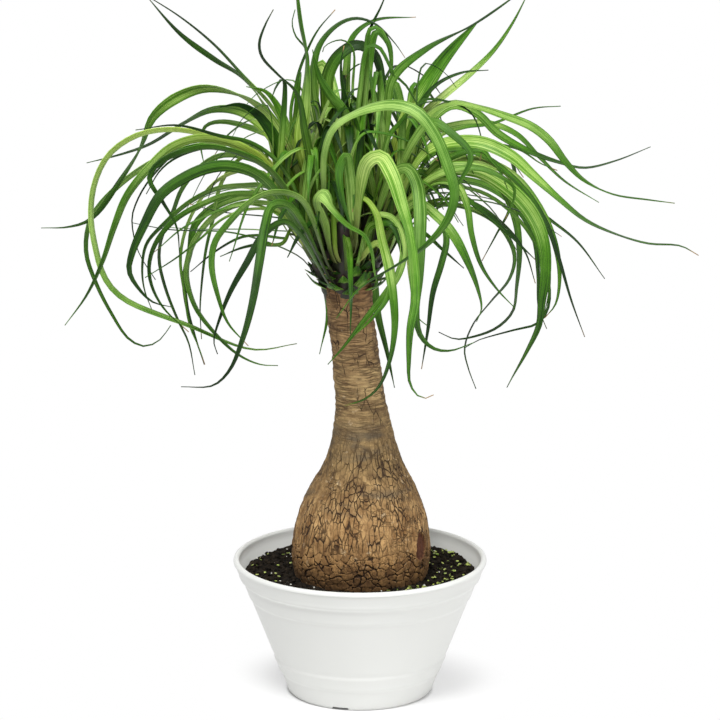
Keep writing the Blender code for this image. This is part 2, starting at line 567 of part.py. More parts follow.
def leaf_frames(leaf, centres, out):
    """(across the blade, towards its upper side) at each centre. The base lies flat on its head, and
    from there the blade twists, a little at each step, towards the turns that its row asks for."""
    turns = [math.radians(t) for t in leaf[3]]
    up = -out
    frames = []
    for i, centre in enumerate(centres):
        along = (centres[min(i + 1, len(centres) - 1)] - centres[max(i - 1, 0)]).normalized()
        up = (up - along * up.dot(along)).normalized()
        if i:
            place = i / (len(centres) - 1) * (len(turns) - 1)
            k = min(int(place), len(turns) - 2)
            wanted = blade_normal(centre, along, turns[k] + (turns[k + 1] - turns[k]) * (place - k))
            wanted = wanted if wanted.dot(up) > 0 else -wanted
            twist = min(up.angle(wanted), MOST_TWIST)
            side = along.cross(up)
            twist = twist if wanted.dot(side) > 0 else -twist
            up = up * math.cos(twist) + side * math.sin(twist)
        frames.append((along.cross(up), up))
    return frames


def make_leaf(name, leaf, share, finish):
    """A thin blade with a shallow channel, closed to a flat base and a pointed tip."""
    route, out = leaf_route(leaf, share)
    centres = spline(route, LEAF_STEPS)
    frames = leaf_frames(leaf, centres, out)
    points, faces = [], []
    for i in range(LEAF_STEPS):
        s = i / LEAF_STEPS
        half = leaf_width(leaf[1] * MM, s) / 2
        across, up = frames[i]
        thick = LEAF_THICKNESS * (1 - 0.5 * s) / 2
        rise = LEAF_FOLD * 2 * half * min(1.0, s / 0.15)
        centre = centres[i]
        points += [centre - across * half + up * rise, centre - up * thick,
                   centre + across * half + up * rise, centre + up * thick]
    tip = len(points)
    points.append(centres[-1])
    for i in range(LEAF_STEPS - 1):
        for j in range(4):
            near, far = (4 * i + j, 4 * i + (j + 1) % 4), (4 * i + 4 + j, 4 * i + 4 + (j + 1) % 4)
            if j % 2:  # each split runs from the blade's edge, so the two sides never cross
                faces += [(near[1], near[0], far[0]), (near[1], far[0], far[1])]
            else:
                faces += [(near[1], near[0], far[1]), (near[0], far[0], far[1])]
    for j in range(4):
        faces.append((tip - 4 + (j + 1) % 4, tip - 4 + j, tip))
    faces.append((0, 1, 2, 3))
    leaf_object = new_object(name, mesh_from(name, points, faces), finish)
    leaf_object.data.shade_smooth()
    return leaf_object


def main():
    clear_scene()
    make_pot(material("white plastic", (0.86, 0.86, 0.84), 0.35))
    make_soil(material("potting soil", (0.03, 0.025, 0.02), 0.95))
    make_trunk(material("corky bark", (0.36, 0.24, 0.13), 0.85))
    leaf_finish = material("leaf", (0.13, 0.34, 0.05), 0.4)
    shares = leaf_shares()
    for n, leaf in enumerate(LEAVES):
        make_leaf(f"leaf_{n + 1:02d}", leaf, shares[n], leaf_finish)


main()
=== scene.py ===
import math
import random

import bpy
from mathutils import Matrix, Vector, noise


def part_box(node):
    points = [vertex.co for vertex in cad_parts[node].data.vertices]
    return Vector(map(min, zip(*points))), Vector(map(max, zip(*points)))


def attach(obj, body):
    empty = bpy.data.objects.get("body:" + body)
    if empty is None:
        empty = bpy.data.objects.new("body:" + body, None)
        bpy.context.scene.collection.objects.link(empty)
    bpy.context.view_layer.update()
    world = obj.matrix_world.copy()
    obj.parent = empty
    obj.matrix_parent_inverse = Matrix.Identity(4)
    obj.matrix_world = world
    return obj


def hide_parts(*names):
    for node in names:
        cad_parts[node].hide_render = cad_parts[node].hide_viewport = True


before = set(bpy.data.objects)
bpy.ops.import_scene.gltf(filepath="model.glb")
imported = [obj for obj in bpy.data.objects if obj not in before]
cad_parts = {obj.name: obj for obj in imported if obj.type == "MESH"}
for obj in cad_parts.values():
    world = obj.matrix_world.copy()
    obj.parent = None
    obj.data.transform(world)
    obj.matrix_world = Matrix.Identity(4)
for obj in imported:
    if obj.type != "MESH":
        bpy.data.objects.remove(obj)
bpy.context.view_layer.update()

CM = 0.01
MM = 0.001


# ---- Studio: floor, light and camera ------------------------------------------------------------
# A plain white floor that runs out past the view, an even white sky, one large soft lamp above and
# to the left and a weaker one on the right. The camera stands well back and looks a little down.

def clear_selection():
    bpy.ops.object.select_all(action="DESELECT")


class Field:
    """A value that varies over a surface. Arithmetic on fields adds Math nodes to its material."""

    def __init__(self, tree, socket=None):
        self.tree, self.socket = tree, socket

    def node(self, kind, settings, inputs, output=0):
        """A node of a kind: its settings are made first, then its sockets get values or links."""
        made = self.tree.nodes.new("ShaderNode" + kind)
        for key, value in settings.items():
            if key == "stops":
                ramp = made.color_ramp
                while len(ramp.elements) < len(value):
                    ramp.elements.new(0.5)
                for element, (place, colour) in zip(ramp.elements, value):
                    element.position = place
                    element.color = (*colour, 1)
            else:
                setattr(made, key, value)
        for key, value in inputs.items():
            if isinstance(value, Field):
                self.tree.links.new(value.socket, made.inputs[key])
            else:
                made.inputs[key].default_value = value
        return Field(self.tree, made.outputs[output])

    def maths(self, operation, first, second=0.0):
        return self.node("Math", {"operation": operation}, {0: first, 1: second})

    def __add__(self, other):
        return self.maths("ADD", self, other)

    def __mul__(self, other):
        return self.maths("MULTIPLY", self, other)

    def __sub__(self, other):
        return self.maths("SUBTRACT", self, other)

    def __rsub__(self, other):
        return self.maths("SUBTRACT", other, self)

    __radd__ = __add__
    __rmul__ = __mul__

    def between(self, low, high):
        """0 below low and 1 above high, with a smooth rise."""
        settings = {"interpolation_type": "SMOOTHSTEP"}
        return self.node("MapRange", settings, {"Value": self, "From Min": low, "From Max": high})

    def ramp(self, stops):
        """Colours by this field, given as (value, colour) stops."""
        return self.node("ValToRGB", {"stops": stops}, {"Fac": self})

    def mix(self, first, second):
        """Colour mix by this field."""
        sockets = {0: self, 6: first if isinstance(first, Field) else (*first, 1),
                   7: second if isinstance(second, Field) else (*second, 1)}
        return self.node("Mix", {"data_type": "RGBA"}, sockets, 2)


class Finish(Field):
    """A material with a Principled shader, whose patterns read Object coordinates, UVs or attributes."""

    def __init__(self, name, roughness, specular=0.5):
        self.material = bpy.data.materials.new(name)
        self.material.use_nodes = True
        super().__init__(self.material.node_tree)
        self.shader = self.tree.nodes["Principled BSDF"]
        self.shader.inputs["Roughness"].default_value = roughness
        self.shader.inputs["Specular IOR Level"].default_value = specular

    def place(self, stretch=(1, 1, 1), uv=False):
        coordinates = self.node("TexCoord", {}, {}, 2 if uv else 3)
        return self.node("Mapping", {}, {"Vector": coordinates, "Scale": stretch})

    def part_of_place(self, axis, uv=False):
        return self.node("SeparateXYZ", {}, {"Vector": self.node("TexCoord", {}, {}, 2 if uv else 3)}, axis)

    def attribute(self, name):
        return self.node("Attribute", {"attribute_name": name}, {}, 2)

    def noise(self, scale, detail=4.0, stretch=(1, 1, 1), uv=False, rough=0.55):
        inputs = {"Vector": self.place(stretch, uv), "Scale": scale, "Detail": detail, "Roughness": rough}
        return self.node("TexNoise", {}, inputs)

    def feed(self, socket, field):
        self.tree.links.new(field.socket, self.shader.inputs[socket])

    def bump(self, height, distance):
        inputs = {"Height": height, "Distance": distance, "Strength": 1.0}
        self.feed("Normal", self.node("Bump", {}, inputs))


def mirrored_or_seen(field):
    """1 for rays from the camera, from a shiny surface or through glass, and 0 for rays that only light."""
    return sum((field.node("LightPath", {}, {}, output) for output in (0, 3, 6)), 0.0)


FOOT_RADIUS = 6.1 * CM  # of the pot
FLOOR_SIZE = 14
FLOOR_BEHIND = 3

clear_selection()
bpy.ops.mesh.primitive_plane_add(size=FLOOR_SIZE, location=(0, FLOOR_BEHIND, 0))
bpy.ops.object.transform_apply(location=True)
floor = bpy.context.object
floor.name = "studio_floor"
floor_finish = Finish("white floor", 0.9, 0.1)
floor_finish.shader.inputs["Base Color"].default_value = (0.9, 0.9, 0.9, 1)
across = floor_finish.part_of_place(0)
back = floor_finish.part_of_place(1)
from_pot = floor_finish.node("Math", {"operation": "SQRT"}, {0: across * across + back * back})
seen = mirrored_or_seen(floor_finish)
# Half plain white right up to the foot's own shadow, and all white where the pot's shadow ends.
white_share = from_pot.between(FOOT_RADIUS + 0.2 * MM, FOOT_RADIUS + 3 * MM) * 0.5
white_share = white_share + from_pot.between(7 * CM, 14 * CM) * 0.5
floor_nodes, floor_links = floor_finish.tree.nodes, floor_finish.tree.links
plain_white = floor_nodes.new("ShaderNodeEmission")
floor_mix = floor_nodes.new("ShaderNodeMixShader")
floor_links.new((white_share * seen).socket, floor_mix.inputs["Fac"])
floor_links.new(floor_finish.shader.outputs["BSDF"], floor_mix.inputs[1])
floor_links.new(plain_white.outputs["Emission"], floor_mix.inputs[2])
floor_links.new(floor_mix.outputs["Shader"], floor_nodes["Material Output"].inputs["Surface"])
floor.data.materials.append(floor_finish.material)

sky = bpy.data.worlds.new("white sky")
sky.use_nodes = True
SKY_LIGHT = 0.34  # how strongly the sky lights the plant; where it shows, it is plain white
sky_seen = mirrored_or_seen(Field(sky.node_tree))
sky_strength = sky_seen * (1 - SKY_LIGHT) + SKY_LIGHT
sky.node_tree.nodes["Background"].inputs["Color"].default_value = (1, 1, 1, 1)
sky.node_tree.links.new(sky_strength.socket, sky.node_tree.nodes["Background"].inputs["Strength"])
bpy.context.scene.world = sky


def soft_lamp(name, place, target, size, watts):
    """A square area lamp that shines at its target."""
    bpy.ops.object.light_add(type="AREA", location=place)
    lamp = bpy.context.object
    lamp.name = name
    lamp.rotation_euler = (Vector(target) - Vector(place)).to_track_quat("-Z", "Y").to_euler()
    lamp.data.size = size
    lamp.data.energy = watts


soft_lamp("key_lamp", (-0.35, -1.35, 2.55), (0, 0, 0.35), 1.0, 84)
soft_lamp("fill_lamp", (1.9, -1.4, 1.3), (0, 0, 0.4), 1.2, 22)

EYE = Vector((0.0, -2.805, 0.957))
LOOKS_AT = Vector((0.0, 0.0, 0.290))
bpy.ops.object.camera_add(location=EYE)
camera = bpy.context.object
camera.rotation_euler = (LOOKS_AT - EYE).to_track_quat("-Z", "Y").to_euler()
camera.data.sensor_width = 36
camera.data.lens = 171.27
bpy.context.scene.camera = camera
bpy.context.scene.view_settings.view_transform = "Standard"


# ---- Pot ----------------------------------------------------------------------------------------
# One moulding in satin white plastic: a rolled lip, a rim band, faint ring bands, a raised floor
# and a foot ring. The wall is turned as one closed profile, so it has an inside and an outside.

white_plastic = Finish("white plastic", 0.38)
white_plastic.feed("Base Color", white_plastic.noise(9, 3).mix((0.655, 0.66, 0.635), (0.70, 0.705, 0.685)))
white_plastic.feed("Roughness", white_plastic.noise(160, 2) * 0.14 + 0.32)
white_plastic.bump(white_plastic.noise(1400, 2), 0.00004)

_, POT_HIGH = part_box("pot")
POT_HEIGHT = POT_HIGH[2]
RIM_RADIUS = POT_HIGH[0]
BAND_STEP = 0.6 * MM  # how far a ring band stands proud
WALL = 2.2 * MM
POT_SIDES = 180
RING_EDGES = ((1.9 * CM, BAND_STEP), (3.2 * CM, -BAND_STEP), (8.5 * CM, BAND_STEP),
              (10.05 * CM, 2 * BAND_STEP))
LIP = 2.6 * MM  # radius of the rolled lip
FOOT_CORNER = 2 * MM
FLOOR_TOP, UNDERSIDE, FOOT_RING, DRAIN_HOLE = 6.4 * MM, 4.0 * MM, 3.5 * MM, 0.8 * MM


def rise(value, low, high):
    """0 below low and 1 above high, with a smooth rise."""
    t = max(0.0, min(1.0, (value - low) / (high - low)))
    return t * t * (3 - 2 * t)


def wall_radius(height):
    """Radius of the plain cone that the pot's wall follows."""
    top = RIM_RADIUS - 2 * BAND_STEP
    return FOOT_RADIUS + (top - FOOT_RADIUS) * height / POT_HEIGHT


def arc(centre, radius, start, end, steps):
    """Points on an arc in the turning plane, as (distance from the axis, height)."""
    angles = [math.radians(start + (end - start) * i / steps) for i in range(steps + 1)]
    return [(centre[0] + radius * math.cos(a), centre[1] + radius * math.sin(a)) for a in angles]


def proud(height):
    """How far the wall stands out at a height. Each ring edge is a soft step that swells on its proud
    side and dips on the other."""
    total = 0.0
    for edge, step in RING_EDGES:
        off = (height - edge) / MM
        swell = math.exp(-((off - 2.4) / 1.9) ** 2) - math.exp(-((off + 2.4) / 2.2) ** 2)
        total += step * (rise(off, -1.4, 1.4) + 0.35 * swell)
    return total


def pot_profile():
    """The closed outline of half the pot, as (distance from the axis, height)."""
    outside = arc((FOOT_RADIUS - FOOT_CORNER, FOOT_CORNER), FOOT_CORNER, -90, 0, 6)
    groove = POT_HEIGHT - 3.6 * MM
    steps = 130
    heights = [2.4 * MM + (groove - 3 * MM) * i / steps for i in range(steps + 1)]
    outside += [(wall_radius(h) + proud(h), h) for h in heights]
    outside += [(wall_radius(groove) + proud(groove) - 0.4 * MM, groove)]
    outside += arc((RIM_RADIUS - LIP, POT_HEIGHT - LIP), LIP, -20, 180, 16)
    inside = []
    for height in (POT_HEIGHT - 9 * MM, POT_HEIGHT - 13 * MM):
        reach = wall_radius(height) - WALL
        inside += [(reach, height + 0.5 * MM), (reach - 0.5 * MM, height)]
    inside += [(wall_radius(h) - WALL - 0.5 * MM, h) for h in (8.5 * CM, 5 * CM, 2 * CM)]
    corner = wall_radius(FLOOR_TOP) - WALL - 2 * MM
    inside += arc((corner, FLOOR_TOP + 2 * MM), 2 * MM, 0, -90, 5)
    under = [(DRAIN_HOLE, FLOOR_TOP), (DRAIN_HOLE, UNDERSIDE)]
    under += [(FOOT_RADIUS - FOOT_RING - 1.5 * MM, UNDERSIDE), (FOOT_RADIUS - FOOT_RING, 0.8 * MM),
              (FOOT_RADIUS - FOOT_RING + 0.8 * MM, 0.0)]
    return outside + inside + under


def new_piece(name, points, faces, finish):
    """An object in the scene, made from points and faces."""
    mesh = bpy.data.meshes.new(name)
    mesh.from_pydata(points, [], faces)
    made = bpy.data.objects.new(name, mesh)
    bpy.context.scene.collection.objects.link(made)
    made.data.materials.append(finish.material)
    return made


def around(sides):
    """The angles of that many points round a circle."""
    return [2 * math.pi * i / sides for i in range(sides)]


def ring_faces(rings, sides):
    """Faces between each ring of points and the next one."""
    return [(j * sides + i, j * sides + (i + 1) % sides, (j + 1) * sides + (i + 1) % sides,
             (j + 1) * sides + i) for j in range(rings) for i in range(sides)]


def end_faces(rings, sides):
    """The two faces that close a stack of rings."""
    return [tuple(reversed(range(sides))), tuple(rings * sides + i for i in range(sides))]


def turned(name, profile, sides, finish):
    """Spins a closed profile of (radius, height) round the upright axis into a closed mesh."""
    count = len(profile)
    points, faces = [], []
    for angle in around(sides):
        points += [(r * math.cos(angle), r * math.sin(angle), z) for r, z in profile]
    for i in range(sides):
        n = (i + 1) % sides
        for j in range(count):
            k = (j + 1) % count
            faces.append((i * count + j, n * count + j, n * count + k, i * count + k))
    return new_piece(name, points, faces, finish)


def take(piece):
    """Makes one piece the selected and active one, for the operators that follow."""
    clear_selection()
    piece.select_set(True)
    bpy.context.view_layer.objects.active = piece


def apply_modifiers(piece):
    take(piece)
    for modifier in list(piece.modifiers):
        bpy.ops.object.modifier_apply(modifier=modifier.name)


def smooth(piece, angle=40):
    take(piece)
    bpy.ops.object.shade_smooth_by_angle(angle=math.radians(angle))


def carve(piece, cutter):
    """Cuts the cutter out of the piece and removes the cutter."""
    boolean = piece.modifiers.new("carve", "BOOLEAN")
    boolean.object = cutter
    boolean.solver = "EXACT"
    apply_modifiers(piece)
    bpy.data.objects.remove(cutter)


pot = turned("bowl_pot", pot_profile(), POT_SIDES, white_plastic)
take(pot)
bpy.ops.object.mode_set(mode="EDIT")
bpy.ops.mesh.select_all(action="SELECT")
bpy.ops.mesh.remove_doubles(threshold=0.00001)
bpy.ops.mesh.normals_make_consistent(inside=False)
bpy.ops.object.mode_set(mode="OBJECT")
HOLES_OUT = 4.4 * CM  # from the axis to the middle of a drain hole
for i in range(3):
    turn = math.radians(-106 + 120 * i)
    clear_selection()
    bpy.ops.mesh.primitive_cube_add(
        size=1, location=(FOOT_RADIUS * math.cos(turn), FOOT_RADIUS * math.sin(turn), 0),
        rotation=(0, 0, turn), scale=(16 * MM, 14 * MM, 5.2 * MM))
    carve(pot, bpy.context.object)
    bpy.ops.mesh.primitive_cylinder_add(
        vertices=32, radius=4 * MM, depth=2.4 * CM,
        location=(HOLES_OUT * math.cos(turn), HOLES_OUT * math.sin(turn), 0))
    carve(pot, bpy.context.object)
smooth(pot, 35)
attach(pot, "root")
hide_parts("pot")


# ---- Trunk --------------------------------------------------------------------------------------
# The swollen base and the stem: corky bark that has split into small plates round the bulb, into
# upright fissures above it, and that keeps the rings of old leaf scars up the stem.

TRUNK_STATIONS = (  # height, how far the centre stands off the axis in X, and radius, in centimetres
    (6.6, 0.1, 1.6), (7.0, 0.1, 3.2), (8.0, 0.1, 4.6), (9.2, 0.1, 5.3), (10.6, 0.1, 5.7), (12.2, 0.1, 5.9),
    (14.0, 0.12, 5.72), (16.0, 0.18, 5.25), (18.0, 0.22, 4.45), (20.0, 0.28, 3.35), (22.0, 0.3, 2.72),
    (25.0, 0.1, 2.2), (28.0, -0.22, 2.02), (31.0, -0.55, 1.98), (34.0, -0.88, 1.96), (36.2, -1.0, 2.05),
    (37.2, -1.0, 1.5))


def trunk_section(height):
    """(how far the centre stands off the axis in X, radius) at a height, all in centimetres."""
    last = len(TRUNK_STATIONS) - 2
    i = next((n for n in range(last + 1) if height < TRUNK_STATIONS[n + 1][0]), last)
    before, start, end, after = (TRUNK_STATIONS[max(0, min(last + 1, i + d))] for d in (-1, 0, 1, 2))
    span = end[0] - start[0]
    t = (height - start[0]) / span
    result = []
    for column in (1, 2):
        slope_in = (end[column] - before[column]) / (end[0] - before[0]) * span
        slope_out = (after[column] - start[column]) / (after[0] - start[0]) * span
        result.append((2 * t**3 - 3 * t**2 + 1) * start[column] + (t**3 - 2 * t**2 + t) * slope_in
                      + (3 * t**2 - 2 * t**3) * end[column] + (t**3 - t**2) * slope_out)
    return result


def split(place, stretch, width):
    """(1 in a split between two bark plates and 0 on a plate, a tone of the plate's own)."""
    near, middles = noise.voronoi(Vector((place.x / stretch[0], place.y / stretch[0], place.z / stretch[1])))
    tone = math.sin(middles[0].x * 12.9 + middles[0].y * 78.2 + middles[0].z * 37.7) * 0.5 + 0.5
    return 1 - rise(near[1] - near[0], width * 0.15, width), tone


def shove(place):
    """A push that varies smoothly from place to place, the same in every run."""
    return Vector([noise.noise(place + Vector((seed, -seed, seed))) for seed in (3.7, 11.3, 23.9)])


def patch(place, scale, low, high, seed=0.0):
    """A soft-edged patchiness between 0 and 1."""
    return rise(noise.noise(place * scale + Vector((seed, seed, seed))), low, high)


SCAR = Vector((5.15, -2.85, 13.5))  # the middle of an old oval wound on the bulb, in centimetres


def scar_share(place):
    """Over 1 outside the wound, falling to 0 at its middle."""
    off = place - SCAR
    edge = 1 + 0.25 * noise.noise(place * 1.6)
    return math.sqrt((off.x ** 2 + off.y ** 2) / 0.8 ** 2 + off.z ** 2 / 1.3 ** 2) * edge


LEAF_SCAR_GAP = 0.8  # from one ring of old leaf scars to the next, in centimetres


def bark(place, height):
    """(how far the bark stands out in millimetres, how deep in a split, the plate's tone, how deep in
    the wound) at a point in centimetres."""
    plated = 1 - rise(height + 0.8 * noise.noise(place * 0.8), 12.6, 14.6)
    stem = rise(height, 21.0, 24.5)
    bent = place + shove(place * 1.1) * 0.2 + shove(place * 3.5) * 0.05
    relief = 0.7 * noise.noise(place * 0.45) + 0.45 * noise.noise(place * 1.7)
    relief += 0.25 * noise.noise(place * 5)
    crack = tone = 0.0
    if plated > 0:
        width = 0.07 + 0.05 * patch(place, 0.9, -0.2, 0.5)
        plates, tone = split(bent, (0.74, 0.64), width)
        crack = plated * plates * (0.75 + 0.25 * patch(place, 0.5, -0.4, 0.1, 4))
        tone *= plated
    if plated < 1:
        ridges = noise.noise(Vector((place.x * 2.6, place.y * 2.6, place.z * 0.7)))
        relief += (1 - plated) * (1 - stem) * (0.55 - 1.3 * abs(ridges))
    if stem > 0:
        wander = 0.3 * noise.noise(place * 0.6) + 0.1 * noise.noise(place * 2.1)
        swell = math.sin((height + wander) * 2 * math.pi / LEAF_SCAR_GAP)
        level = noise.noise(Vector((place.x * 0.7, place.y * 0.7, place.z * 4.2)))
        relief += stem * (0.22 * swell + 0.4 * level)
    inside = 0.0
    if height < 16 and place.y < 0:
        reach = scar_share(place)
        inside = 1 - rise(reach, 0.85, 1.0)
        relief += 0.9 * rise(reach, 0.8, 1.0) * (1 - rise(reach, 1.0, 1.35)) - 1.3 * inside
    crack *= 1 - inside
    return relief - 1.3 * crack, crack, tone, inside


BARK_DEPTH = 0.9  # how much of the relief is in the mesh


def bark_piece(name, low, high, rings, sides):
    """One stretch of the trunk as a closed body, with its relief in the mesh. Where it is split, the
    tone of each plate and the wound are attributes."""
    points, marks = [], []
    for j in range(rings + 1):
        height = low + (high - low) * j / rings
        offset, radius = trunk_section(height)
        for angle in around(sides):
            place = Vector((offset + radius * math.cos(angle), radius * math.sin(angle), height))
            relief, *found = bark(place, height)
            reach = radius * CM + relief * MM * BARK_DEPTH
            points.append((offset * CM + reach * math.cos(angle), reach * math.sin(angle), height * CM))
            marks.append(found)
    made = new_piece(name, points, ring_faces(rings, sides) + end_faces(rings, sides), bark_finish)
    for key, values in zip(("split", "plate", "scar"), zip(*marks)):
        made.data.attributes.new(key, "FLOAT", "POINT").data.foreach_set("value", values)
    smooth(made, 60)
    return made


bark_finish = Finish("corky bark", 0.9, 0.25)
bark_height = bark_finish.part_of_place(2)
tan = bark_height.ramp([(0.098, (0.13, 0.065, 0.024)), (0.125, (0.47, 0.265, 0.1)),
                        (0.155, (0.74, 0.475, 0.21)), (0.205, (0.42, 0.28, 0.12)),
                        (0.27, (0.6, 0.435, 0.2)), (0.335, (0.48, 0.3, 0.135)), (0.368, (0.29, 0.13, 0.055))])
dark_tan = bark_height.ramp([(0.098, (0.035, 0.017, 0.007)), (0.125, (0.11, 0.052, 0.018)),
                             (0.155, (0.2, 0.1, 0.033)), (0.205, (0.115, 0.069, 0.028)),
                             (0.27, (0.2, 0.122, 0.053)), (0.368, (0.115, 0.054, 0.024))])
stem_share = bark_height.between(0.2, 0.25)
blotch = bark_finish.noise(45, 6, rough=0.65).between(0.4, 0.62)
upright_grain = bark_finish.noise(150, 5, (1, 1, 0.3), rough=0.7).between(0.38, 0.66)
level_grain = bark_finish.noise(110, 5, (0.5, 0.5, 2.4), rough=0.7).between(0.38, 0.66)
grain = upright_grain * (1 - stem_share) + level_grain * stem_share
patchy = (blotch * 0.3 + grain * 0.4 + bark_finish.attribute("plate") * 0.35).mix(dark_tan, tan)
pale_flakes = bark_finish.noise(170, 4).between(0.6, 0.72) * bark_finish.noise(26, 3).between(0.42, 0.6)
flaked = (pale_flakes * 0.65).mix(patchy, (0.66, 0.5, 0.3))
smudge_height = bark_height.between(0.195, 0.212) * (1 - bark_height.between(0.228, 0.245))
lower_smudge = bark_height.between(0.165, 0.172) * (1 - bark_height.between(0.182, 0.19))
smudge_height = smudge_height + lower_smudge * 0.8
smudged = smudge_height * bark_finish.noise(36, 6, (0.6, 0.6, 1.8)).between(0.45, 0.6)
smoky = (smudged * 0.78).mix(flaked, (0.085, 0.07, 0.048))
specks = bark_finish.noise(520, 4).between(0.58, 0.7)
speckled = (specks * 0.55).mix(smoky, (0.09, 0.045, 0.02))
wander = bark_finish.node("TexNoise", {}, {"Vector": bark_finish.place(), "Scale": 130, "Detail": 3.0}, 1)
WANDER = 2.4 * MM
pushed = bark_finish.node("VectorMath", {"operation": "MULTIPLY_ADD"},
                          {0: wander, 1: (WANDER,) * 3, 2: bark_finish.node("TexCoord", {}, {}, 3)})


def cracks(scale, stretch, low, high):
    """Fine crisp cracks round cells about 1 / scale wide, stretched one way."""
    place = bark_finish.node("Mapping", {}, {"Vector": pushed, "Scale": stretch})
    cells = bark_finish.node("TexVoronoi", {"feature": "DISTANCE_TO_EDGE"},
                             {"Vector": place, "Scale": scale})
    return 1 - cells.between(low, high)


mid_share = bark_height.between(0.126, 0.145) * (1 - stem_share)
crazing = cracks(330, (1, 1, 0.8), 0.01, 0.07) * bark_finish.noise(35, 3).between(0.42, 0.56)
crazing = crazing * (1 - mid_share) * 0.6
fissured = bark_finish.noise(60, 3, (1, 1, 0.4)).between(0.38, 0.56) * 0.75 + 0.25
fissures = cracks(270, (1, 1, 0.17), 0.01, 0.1) * fissured
side_cracks = cracks(230, (0.4, 0.4, 1), 0.01, 0.06) * bark_finish.noise(55, 3).between(0.5, 0.6) * 0.65
ringed = bark_finish.noise(60, 3).between(0.4, 0.58) * 0.6 + 0.25
scars_round = cracks(420, (0.12, 0.12, 1), 0.02, 0.2) * ringed
long_cracks = cracks(130, (1, 1, 0.27), 0.005, 0.04) * bark_finish.noise(48, 3).between(0.47, 0.56)
mid_cracks = fissures.maths("MAXIMUM", fissures, side_cracks) * mid_share
stem_cracks = long_cracks.maths("MAXIMUM", long_cracks, scars_round * 0.75) * stem_share
crack_field = bark_finish.attribute("split").between(0.1, 0.7)
for more in (mid_cracks, stem_cracks, crazing * (1 - stem_share)):
    crack_field = crack_field.maths("MAXIMUM", crack_field, more)
cracked = (crack_field * 0.96).mix(speckled, (0.02, 0.009, 0.004))
wound = bark_finish.noise(300, 5, (1, 1, 0.4)).mix((0.045, 0.014, 0.008), (0.16, 0.06, 0.028))
bark_finish.feed("Base Color", bark_finish.attribute("scar").mix(cracked, wound))
bark_finish.feed("Roughness", grain * 0.15 + 0.78)
bark_finish.bump(grain * 0.8 - crack_field * 1.4 + bark_finish.noise(500, 4) * 0.5, 0.0007)

BULB_LOW, BULB_TOP, STEM_TOP = 9.4, 21.0, 37.2
bulb = bark_piece("swollen_base", BULB_LOW, BULB_TOP, 186, 520)
stem = bark_piece("stem", BULB_TOP, STEM_TOP, 240, 200)
for piece in (bulb, stem):
    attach(piece, "root")
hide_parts("trunk")


# ---- Growing heads ------------------------------------------------------------------------------
# Four short branches at the top of the stem. Each is wrapped in the bases of its leaves, and the
# oldest leaves were cut back to short stubs round its foot.

HEADS = {  # foot and top of each, in centimetres
    "left": ((-1.4, 0.1, 34.6), (-5.0, 0.3, 42.4)),
    "right": ((-0.6, 0.1, 34.6), (2.4, 0.2, 43.6)),
    "back": ((-0.9, 0.4, 34.6), (-1.3, 3.4, 43.6)),
    "front": ((-1.0, -0.3, 34.6), (-1.3, -3.0, 40.6)),
}
HEAD_FOOT_RADIUS = 1.6 * CM
HEAD_TOP_RADIUS = 1.0 * CM


def head_axis(name):
    """The foot and the top of a head, in metres."""
    foot, top = (Vector(p) * CM for p in HEADS[name])
    return foot, top


def head_radius(share):
    return HEAD_FOOT_RADIUS + (HEAD_TOP_RADIUS - HEAD_FOOT_RADIUS) * share


head_finish = Finish("leaf sheath", 0.6)
head_tone = head_finish.noise(90, 4).between(0.35, 0.65)
head_finish.feed("Base Color", head_tone.mix((0.014, 0.022, 0.005), (0.026, 0.013, 0.011)))
head_finish.bump(head_finish.noise(300, 3, (1, 1, 0.3)), 0.0005)

for name in HEADS:
    foot, top = head_axis(name)
    axis = (top - foot).normalized()
    upright = axis.to_track_quat("Z", "Y").to_matrix()
    rings = [(foot + (top - foot) * s, head_radius(s) * (1 + 0.035 * math.sin(s * 70)) * 0.97)
             for s in (i / 24 for i in range(25))]
    rings += [(top + axis * HEAD_TOP_RADIUS * math.sin(a), HEAD_TOP_RADIUS * 0.95 * math.cos(a))
              for a in (0.3, 0.6, 0.9, 1.2, 1.45)]
    sides = 40
    points = [centre + upright @ Vector((radius * math.cos(angle), radius * math.sin(angle), 0))
              for centre, radius in rings for angle in around(sides)]
    faces = ring_faces(len(rings) - 1, sides) + end_faces(len(rings) - 1, sides)
    head = new_piece(name + "_head", points, faces, head_finish)
    smooth(head, 60)
    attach(head, "root")


# ---- Leaves -------------------------------------------------------------------------------------
# Long leathery straps, each with a shallow channel, fine ribs along it and a thread-thin tip. They
# clasp a head with a pale base, rise, and hang over under their own weight.

LEAF_THICKNESS = 0.5 * MM
LEAF_FOLD = 0.13
LEAST_HALF_WIDTH = 0.28 * MM
BASE_WIDTH_SHARE = 0.5  # of the full width, where a leaf leaves its head
FULL_WIDTH_FROM = 0.26  # share of the length
TAPER_START = 0.35
TAPER_POWER = 2.2
LOWEST_LEAF, HIGHEST_LEAF = 0.22, 0.97  # shares of the way up a head
CAD_GAP = 0.6 * MM  # from a head to the underside of a leaf's base
CAD_THICKNESS = 0.9 * MM
LEAF_STEPS = 54
LEAF_RIBS = 8
TWIST_LIMIT = 55.0  # the most that a blade turns along its length, in degrees for each centimetre

